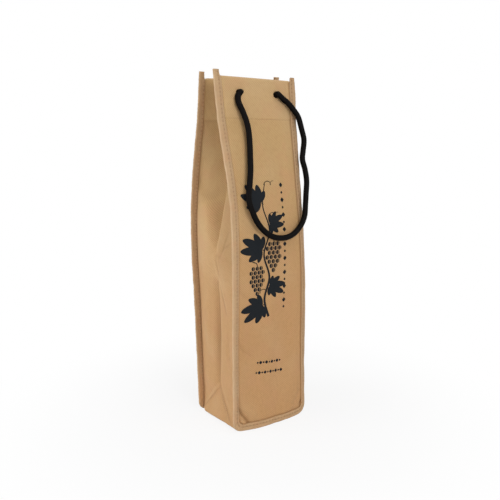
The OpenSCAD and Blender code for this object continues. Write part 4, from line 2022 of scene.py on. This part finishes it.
@dataclass
class VinePrint:
    """A printed vine with leaves, grapes and tendrils, and a row of small diamonds under it.

    Attributes:
        panel: The panel that it is printed on.
        lift: How far the ink stands over the cloth, in millimetres.
        stem: Points of the vine, from its foot.
        leaves: Place, turn and size of each leaf.
        bunches: Place and scale of each bunch of grapes.
        tendrils: Place of each tendril, and the side that it curls to.
        grape: Distance between grapes across and down, and their radius, at a scale of 1.
        marks: Two ends of each row of small diamonds, how many are in it and half the width of its larger ones.
    """

    panel: Panel
    lift: float = 0.1
    stem: tuple[Pair, ...] = ((-4, 117), (-9, 136), (-3, 158), (-10, 182), (-4, 206), (-11, 230), (-7, 252))
    leaves: tuple[tuple[float, float, float, float], ...] = (
        (-8, 131, 200, 26), (-5, 150, -14, 20), (-9, 186, 166, 26), (-6, 212, 8, 19.5), (-10, 232, 148, 24),
    )
    bunches: tuple[Triple, ...] = ((2, 192, 1.16), (-18.5, 168.5, 1.1))
    tendrils: tuple[Triple, ...] = ((-4, 220, 1), (-7, 143, -1), (-7, 251, 1))
    grape: Triple = (4.5, 3.9, 2.0)
    marks: tuple[tuple[float, float, float, float, int, float], ...] = (
        (17, 124, 17, 250, 18, 2.5), (-17, 69.5, 12, 66.5, 9, 1.9), (-19, 59, 13, 56, 10, 1.9),
    )

    def stroke(self, bm: Mesh, spine: Sequence[Vector], width: Callable[[float], float],
               steps: int = 24, across: int = 2) -> None:
        """Adds a flat stroke of ink along a spine.

        Args:
            bm: The print's flat mesh.
            spine: Points that the stroke passes through.
            width: Gives half the stroke's width at a share of its length.
            steps: How many faces it has along its length.
            across: How many faces it has across.
        """
        old = set(bm.verts)
        bmesh.ops.create_grid(bm, x_segments=across, y_segments=steps, size=1)
        for vert in (v for v in bm.verts if v not in old):
            share = (vert.co.y + 1) / 2
            at = share * (len(spine) - 1)
            point = spline(spine, at)
            run = (spline(spine, min(at + 0.02, len(spine) - 1)) - spline(spine, max(at - 0.02, 0))).normalized()
            vert.co = point + Vector((run.y, -run.x, 0)) * width(share) * vert.co.x

    def dot(self, bm: Mesh, x: float, z: float, radius: float) -> None:
        """Adds a round spot with a small clear glint.

        Args:
            bm: The print's flat mesh.
            x: Place of its middle across the panel.
            z: Height of its middle.
            radius: Its radius.
        """
        for low, high in ((0.0, 0.62), (0.72, 1.0)):
            a, b = mix(x - radius, x + radius, low), mix(x - radius, x + radius, high)
            self.stroke(
                bm, [Vector((a, z, 0)), Vector((b, z, 0))],
                lambda t, a=a, b=b: math.sqrt(max(radius**2 - (mix(a, b, t) - x) ** 2, 0.002)), 8, 2,
            )

    def leaf(self, bm: Mesh, x: float, z: float, turn: float, size: float) -> None:
        """Adds a lobed leaf, with its midrib left clear.

        Args:
            bm: The print's flat mesh.
            x: Place of its foot across the panel.
            z: Height of its foot.
            turn: The way that it points, in degrees.
            size: Its length.
        """
        angle = math.radians(turn)
        along, over = Vector((math.cos(angle), math.sin(angle), 0)), Vector((-math.sin(angle), math.cos(angle), 0))
        root = Vector((x, z, 0))
        for hand in (-1, 1):
            for spread, reach, breadth in ((12, 1.0, 0.17), (46, 0.72, 0.15), (84, 0.5, 0.12)):
                tilt = math.radians(spread) * hand
                way = along * math.cos(tilt) + over * math.sin(tilt)
                start = root + along * size * 0.16 + over * hand * 0.35
                middle = start + way * size * reach * 0.5 + over * hand * 0.4
                self.stroke(
                    bm, [start, middle, start + way * size * reach],
                    lambda t, b=breadth: size * b * math.sin(math.pi * min(t * 0.93 + 0.04, 1)) ** 0.8, 12, 3,
                )
        self.stroke(bm, [root, root + along * size * 0.2], lambda t: 0.45, 4, 2)

    def bunch(self, bm: Mesh, x: float, z: float, scale: float) -> None:
        """Adds a bunch of grapes that narrows downwards.

        Args:
            bm: The print's flat mesh.
            x: Place of its middle across the panel.
            z: Height of its top row.
            scale: Its scale.
        """
        over, down, radius = (size * scale for size in self.grape)
        for row, count in enumerate((3, 4, 3, 4, 3, 2, 1)):
            for k in range(count):
                self.dot(bm, x + (k - (count - 1) / 2) * over, z - row * down, radius)
        self.stroke(bm, [Vector((x, z + 2, 0)), Vector((x - 1.4, z + 5.5, 0)), Vector((x - 6, z + 7, 0))],
                    lambda t: 0.5, 8)

    def tendril(self, bm: Mesh, x: float, z: float, hand: float) -> None:
        """Adds a thin curling tendril.

        Args:
            bm: The print's flat mesh.
            x: Place of its foot across the panel.
            z: Height of its foot.
            hand: The side that it curls to.
        """
        spine = [
            Vector((x + hand * (2 + k * 0.9 - 3.2 * math.cos(k * 0.75) * (1 - k / 14)),
                    z + 3.4 * math.sin(k * 0.75) * (1 - k / 14) + k * 0.25, 0))
            for k in range(13)
        ]
        self.stroke(bm, spine, lambda t: mix(0.42, 0.22, t), 60, 2)

    def draw(self) -> Mesh:
        """Draws the print.

        Returns:
            The print, drawn flat.
        """
        bm = bmesh.new()
        self.stroke(bm, [Vector((*p, 0)) for p in self.stem], lambda t: mix(1.5, 0.45, t), 90)
        for spec in self.leaves:
            self.leaf(bm, *spec)
        for spec in self.bunches:
            self.bunch(bm, *spec)
        for spec in self.tendrils:
            self.tendril(bm, *spec)
        for left, low, right, high, count, large in self.marks:
            for k in range(count):
                share = k / (count - 1)
                x, z, half = mix(left, right, share), mix(low, high, share), large if k % 2 else 0.6 * large
                self.stroke(bm, [Vector((x - half, z, 0)), Vector((x + half, z, 0))],
                            lambda t, h=half: h * (1 - abs(2 * t - 1)) + 0.03, 4, 2)
        return bm

    def press(self, wardrobe: Wardrobe) -> Piece:
        """Makes the print on the panel.

        Args:
            wardrobe: The bag's finishes.

        Returns:
            The finished piece.
        """
        bm = self.draw()
        Workshop.move(bm, lambda across, z: self.panel.layer(across, z, -self.lift))
        piece = Workshop.finish(bm, "vine_print")
        give(piece, wardrobe.ink)
        return piece


@dataclass
class GiftBag:
    """The whole bag, made of its sewn pieces."""

    form: BagForm
    wardrobe: Wardrobe

    def __post_init__(self) -> None:
        """Shapes the surfaces that the pieces share."""
        self.front = Panel(
            self.form, Face.FRONT, seed=2.3,
            folds=Folds((
                Crease((-41.4, 38), (-41, 25), 1.3, -1.6, -0.8), Crease((-41, 26), (-37, 17), 1.5, -2.2, -1.0),
                Crease((-38, 18.5), (-29, 6.5), 1.5, -2.2, -1.0), Crease((-41, 16), (-33, 4), 2.4, 1.6, 0.35),
                Crease((-34, 24), (-20, 9), 3.6, 1.0), Crease((-39, 147), (-27, 137), 2.2, -0.9, -0.2),
                Crease((-38, 88), (-25, 78), 2.4, -0.9, -0.25), Crease((-42, 100), (-35, 85), 1.8, -0.8, -0.25),
                Crease((42, 16), (38, 11), 1.8, -1.6, -1.1), Crease((41, 30), (26, 10), 3.0, -1.0),
                Crease((36, 16), (14, 9), 2.6, 0.9), Crease((-40, 300), (-24, 306), 3.0, -0.6),
                Crease((-30, 250), (30, 268), 9.0, 0.8), Crease((36, 190), (18, 160), 6.0, -0.8),
                Crease((8, 100), (14, 30), 9.0, -1.2),
            )),
        )
        self.back = Panel(
            self.form, Face.BACK, seed=7.9,
            tilt={
                Side.LEFT: Profile((
                    (0, 0), (60, -0.05), (120, 0), (190, 0.2), (240, 0.2), (290, 0.15), (330, 0.05), (355, 0),
                )),
                Side.RIGHT: Profile(((0, 0), (30, -0.12), (200, -0.2), (290, -0.1), (340, 0), (355, 0))),
            },
            shift={
                Side.LEFT: Profile(((0, -0.4), (60, -1.0), (120, -1.0), (190, 0), (355, 0))),
                Side.RIGHT: Profile(((0, 0), (355, 0))),
            },
            folds=Folds((
                Crease((-40, 34), (-20, 8), 3.0, -0.9), Crease((40, 26), (22, 6), 2.6, 0.8),
                Crease((-28, 240), (32, 225), 8.0, 0.6),
            )),
            base_bow=Profile((
                (-48, -2.4), (-40, -1.2), (-30, 1.2), (-15, 4.4), (0, 6.2), (15, 6), (30, 4.4), (48, 1.6),
            )),
        )

    def hang_rope(self) -> None:
        """Makes the rope handle and its knots."""
        handle = RopeHandle(self.front)
        handle.plait(self.wardrobe, handle.tie(self.wardrobe))

    def sew_body(self) -> None:
        """Makes the panels and the side strip."""
        HemmedPanel(self.front, "front_panel").sew(self.wardrobe)
        HemmedPanel(self.back, "back_panel").sew(self.wardrobe)
        SideStrip(self.form, {Face.FRONT: self.front, Face.BACK: self.back}).sew(self.wardrobe)

    def bind_seams(self) -> None:
        """Makes the tapes and every row of stitches."""
        seams = {
            "front": BoundSeam(self.front, tabs={Side.LEFT: 5.8, Side.RIGHT: 3.6}, seed=4.0),
            "rear": BoundSeam(
                self.back, tabs={Side.LEFT: 6.5, Side.RIGHT: 7.2}, inner_stop=0.1, radius=2.5,
                wear_and_shade={Side.LEFT: (0.1, -0.4), Side.RIGHT: (-0.3, -0.2)}, seed=8.0,
            ),
        }
        for name, seam in seams.items():
            seam.sew_tape(self.wardrobe, f"{name}_binding")
            seam.sew_stitches(self.wardrobe, f"{name}_seam_thread")
        HemStitches((self.front, self.back)).sew(self.wardrobe)

    def lay_board(self, frame: dict) -> None:
        """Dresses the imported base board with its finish."""
        board = frame["nodes"]["base_board"]
        give(board, self.wardrobe.board, body="")

    def make(self, frame: dict) -> None:
        """Makes every piece of the bag.

        Args:
            frame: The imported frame.
        """
        for step in (self.hang_rope, self.sew_body, self.bind_seams):
            step()
            log.info("%s done", step.__name__)
        self.lay_board(frame)
        VinePrint(self.front).press(self.wardrobe)


@dataclass
class Studio:
    """The pale floor, the lights and the camera.

    Attributes:
        eye: The camera's place in metres.
        heading: The way that it looks, clockwise from +Y, in degrees.
        dip: How far it looks down.
        roll: How far it is turned about its own axis.
        lens: Its focal length on a 36 mm sensor.
        floor_white: The least share of white in what the camera sees of the floor.
        soft: Strength of the world's light from its weakest and strongest sides.
        soft_from: The side that it is strongest from.
        lamps: Name, place, target, size, power and tone of each lamp.
    """

    eye: Triple = (-0.3477, -0.4977, 0.2818)
    heading: float = 35.03
    dip: float = 9.50
    roll: float = -0.37
    lens: float = 41.66
    floor_white: float = 0.85
    soft: Pair = (0.17, 0.45)
    soft_from: Triple = (-0.85, 0.1, 0.4)
    lamps: tuple[tuple, ...] = (
        ("left", (-1.45, 0.5, 0.4), (0, 0, 0.12), 0.8, 15, (0.84, 0.92, 1.0)),
        ("front", (-0.2, -1.8, 0.8), (0, 0, 0.2), 0.9, 14.5, (1, 1, 1)),
        ("top", (0.1, -0.7, 1.7), (0, 0, 0.2), 0.9, 6, (1, 1, 1)),
    )

    def place_camera(self) -> None:
        """Places the camera."""
        heading, dip, roll = (math.radians(a) for a in (self.heading, self.dip, self.roll))
        ahead = Vector((math.sin(heading) * math.cos(dip), math.cos(heading) * math.cos(dip), -math.sin(dip)))
        level = Vector((math.cos(heading), -math.sin(heading), 0))
        over = level.cross(ahead)
        right = level * math.cos(roll) + over * math.sin(roll)
        up = over * math.cos(roll) - level * math.sin(roll)
        data = bpy.data.cameras.new("camera")
        data.lens, data.sensor_width, data.clip_start = self.lens, 36, 0.01
        camera = bpy.data.objects.new("camera", data)
        camera.matrix_world = Matrix.Translation(self.eye) @ Matrix((right, up, -ahead)).transposed().to_4x4()
        bpy.context.scene.collection.objects.link(camera)
        bpy.context.scene.camera = camera

    def show_white(self, work: NodeWork, shade: bpy.types.Node, white: bpy.types.Node,
                   output: Socket, share: Socket | float) -> None:
        """Lets the camera, and glossy and clear surfaces, see white in place of a shade.

        Args:
            work: The nodes of the material or world.
            shade: The shader that lights the object.
            white: The shader that is seen.
            output: Where the result goes.
            share: How much of the white is seen.
        """
        rays = work.node("ShaderNodeLightPath").outputs
        seen = rays["Is Camera Ray"]
        for name in ("Is Glossy Ray", "Is Transmission Ray"):
            seen = work.math("MAXIMUM", seen, rays[name])
        choice = work.node("ShaderNodeMixShader")
        work.feed(choice.inputs, (work.math("MULTIPLY", seen, share), shade.outputs[0], white.outputs[0]))
        work.link(choice.outputs[0], output)

    def lay_floor(self) -> None:
        """Lays a wide white floor that keeps the bag's shadow near it."""
        bm = bmesh.new()
        bmesh.ops.create_grid(bm, x_segments=1, y_segments=1, size=6)
        bmesh.ops.translate(bm, verts=bm.verts[:], vec=(0, 0, -0.0002))
        floor = Workshop.finish(bm, "floor")
        paper = Finish("white_paper", roughness=1.0)
        paper.shader.inputs["Base Color"].default_value = (0.9, 0.9, 0.9, 1)
        paper.shader.inputs["Specular IOR Level"].default_value = 0
        white = paper.node("ShaderNodeEmission")
        away = paper.vector("LENGTH", paper.place()).outputs["Value"]
        share = paper.ramp(away, 0.06, 0.32, self.floor_white, 1.0)
        output = paper.nodes["Material Output"].inputs["Surface"]
        self.show_white(paper, paper.shader, white, output, share)
        floor.data.materials.append(paper.material)

    def light_world(self) -> None:
        """Gives the world a soft light that is stronger from the left and from above."""
        world = bpy.data.worlds.new("studio")
        world.use_nodes = True
        bpy.context.scene.world = world
        work = NodeWork(world.node_tree)
        soft = work.nodes["Background"]
        place = work.node("ShaderNodeTexCoord").outputs["Generated"]
        along = work.vector("DOT_PRODUCT", place, Vector(self.soft_from).normalized()).outputs["Value"]
        work.link(work.span(along, (-1, 1), self.soft, "LINEAR"), soft.inputs["Strength"])
        soft.inputs["Color"].default_value = (1, 1, 1, 1)
        white = work.node("ShaderNodeBackground")
        white.inputs["Color"].default_value = (1, 1, 1, 1)
        self.show_white(work, soft, white, work.nodes["World Output"].inputs["Surface"], 1.0)

    def add_lamp(self, name: str, place: Sequence[float], target: Sequence[float], size: float, power: float,
                 tone: Sequence[float]) -> None:
        """Adds a soft square lamp.

        Args:
            name: Its name.
            place: Where it stands, in metres.
            target: The point that it faces.
            size: Its side in metres.
            power: Its power in watts.
            tone: Its colour.
        """
        data = bpy.data.lights.new(name, "AREA")
        data.shape, data.size, data.energy, data.color = "SQUARE", size, power, tone
        lamp = bpy.data.objects.new(name, data)
        way = Vector(target) - Vector(place)
        lamp.matrix_world = Matrix.Translation(place) @ way.to_track_quat("-Z", "Y").to_matrix().to_4x4()
        bpy.context.scene.collection.objects.link(lamp)

    def set_up(self) -> None:
        """Sets up the floor, the lights and the view."""
        self.lay_floor()
        self.light_world()
        for lamp in self.lamps:
            self.add_lamp(*lamp)
        bpy.context.scene.view_settings.view_transform = "Standard"


def main() -> None:
    """Makes the studio and the bag."""
    logging.basicConfig(level=logging.INFO, format="%(asctime)s %(name)s: %(message)s")
    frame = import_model()
    studio = Studio()
    studio.place_camera()
    bag = GiftBag(BagForm.from_frame(), Wardrobe())
    bag.make(frame)
    studio.set_up()
    bpy.context.view_layer.update()


if __name__ == "__main__":
    main()
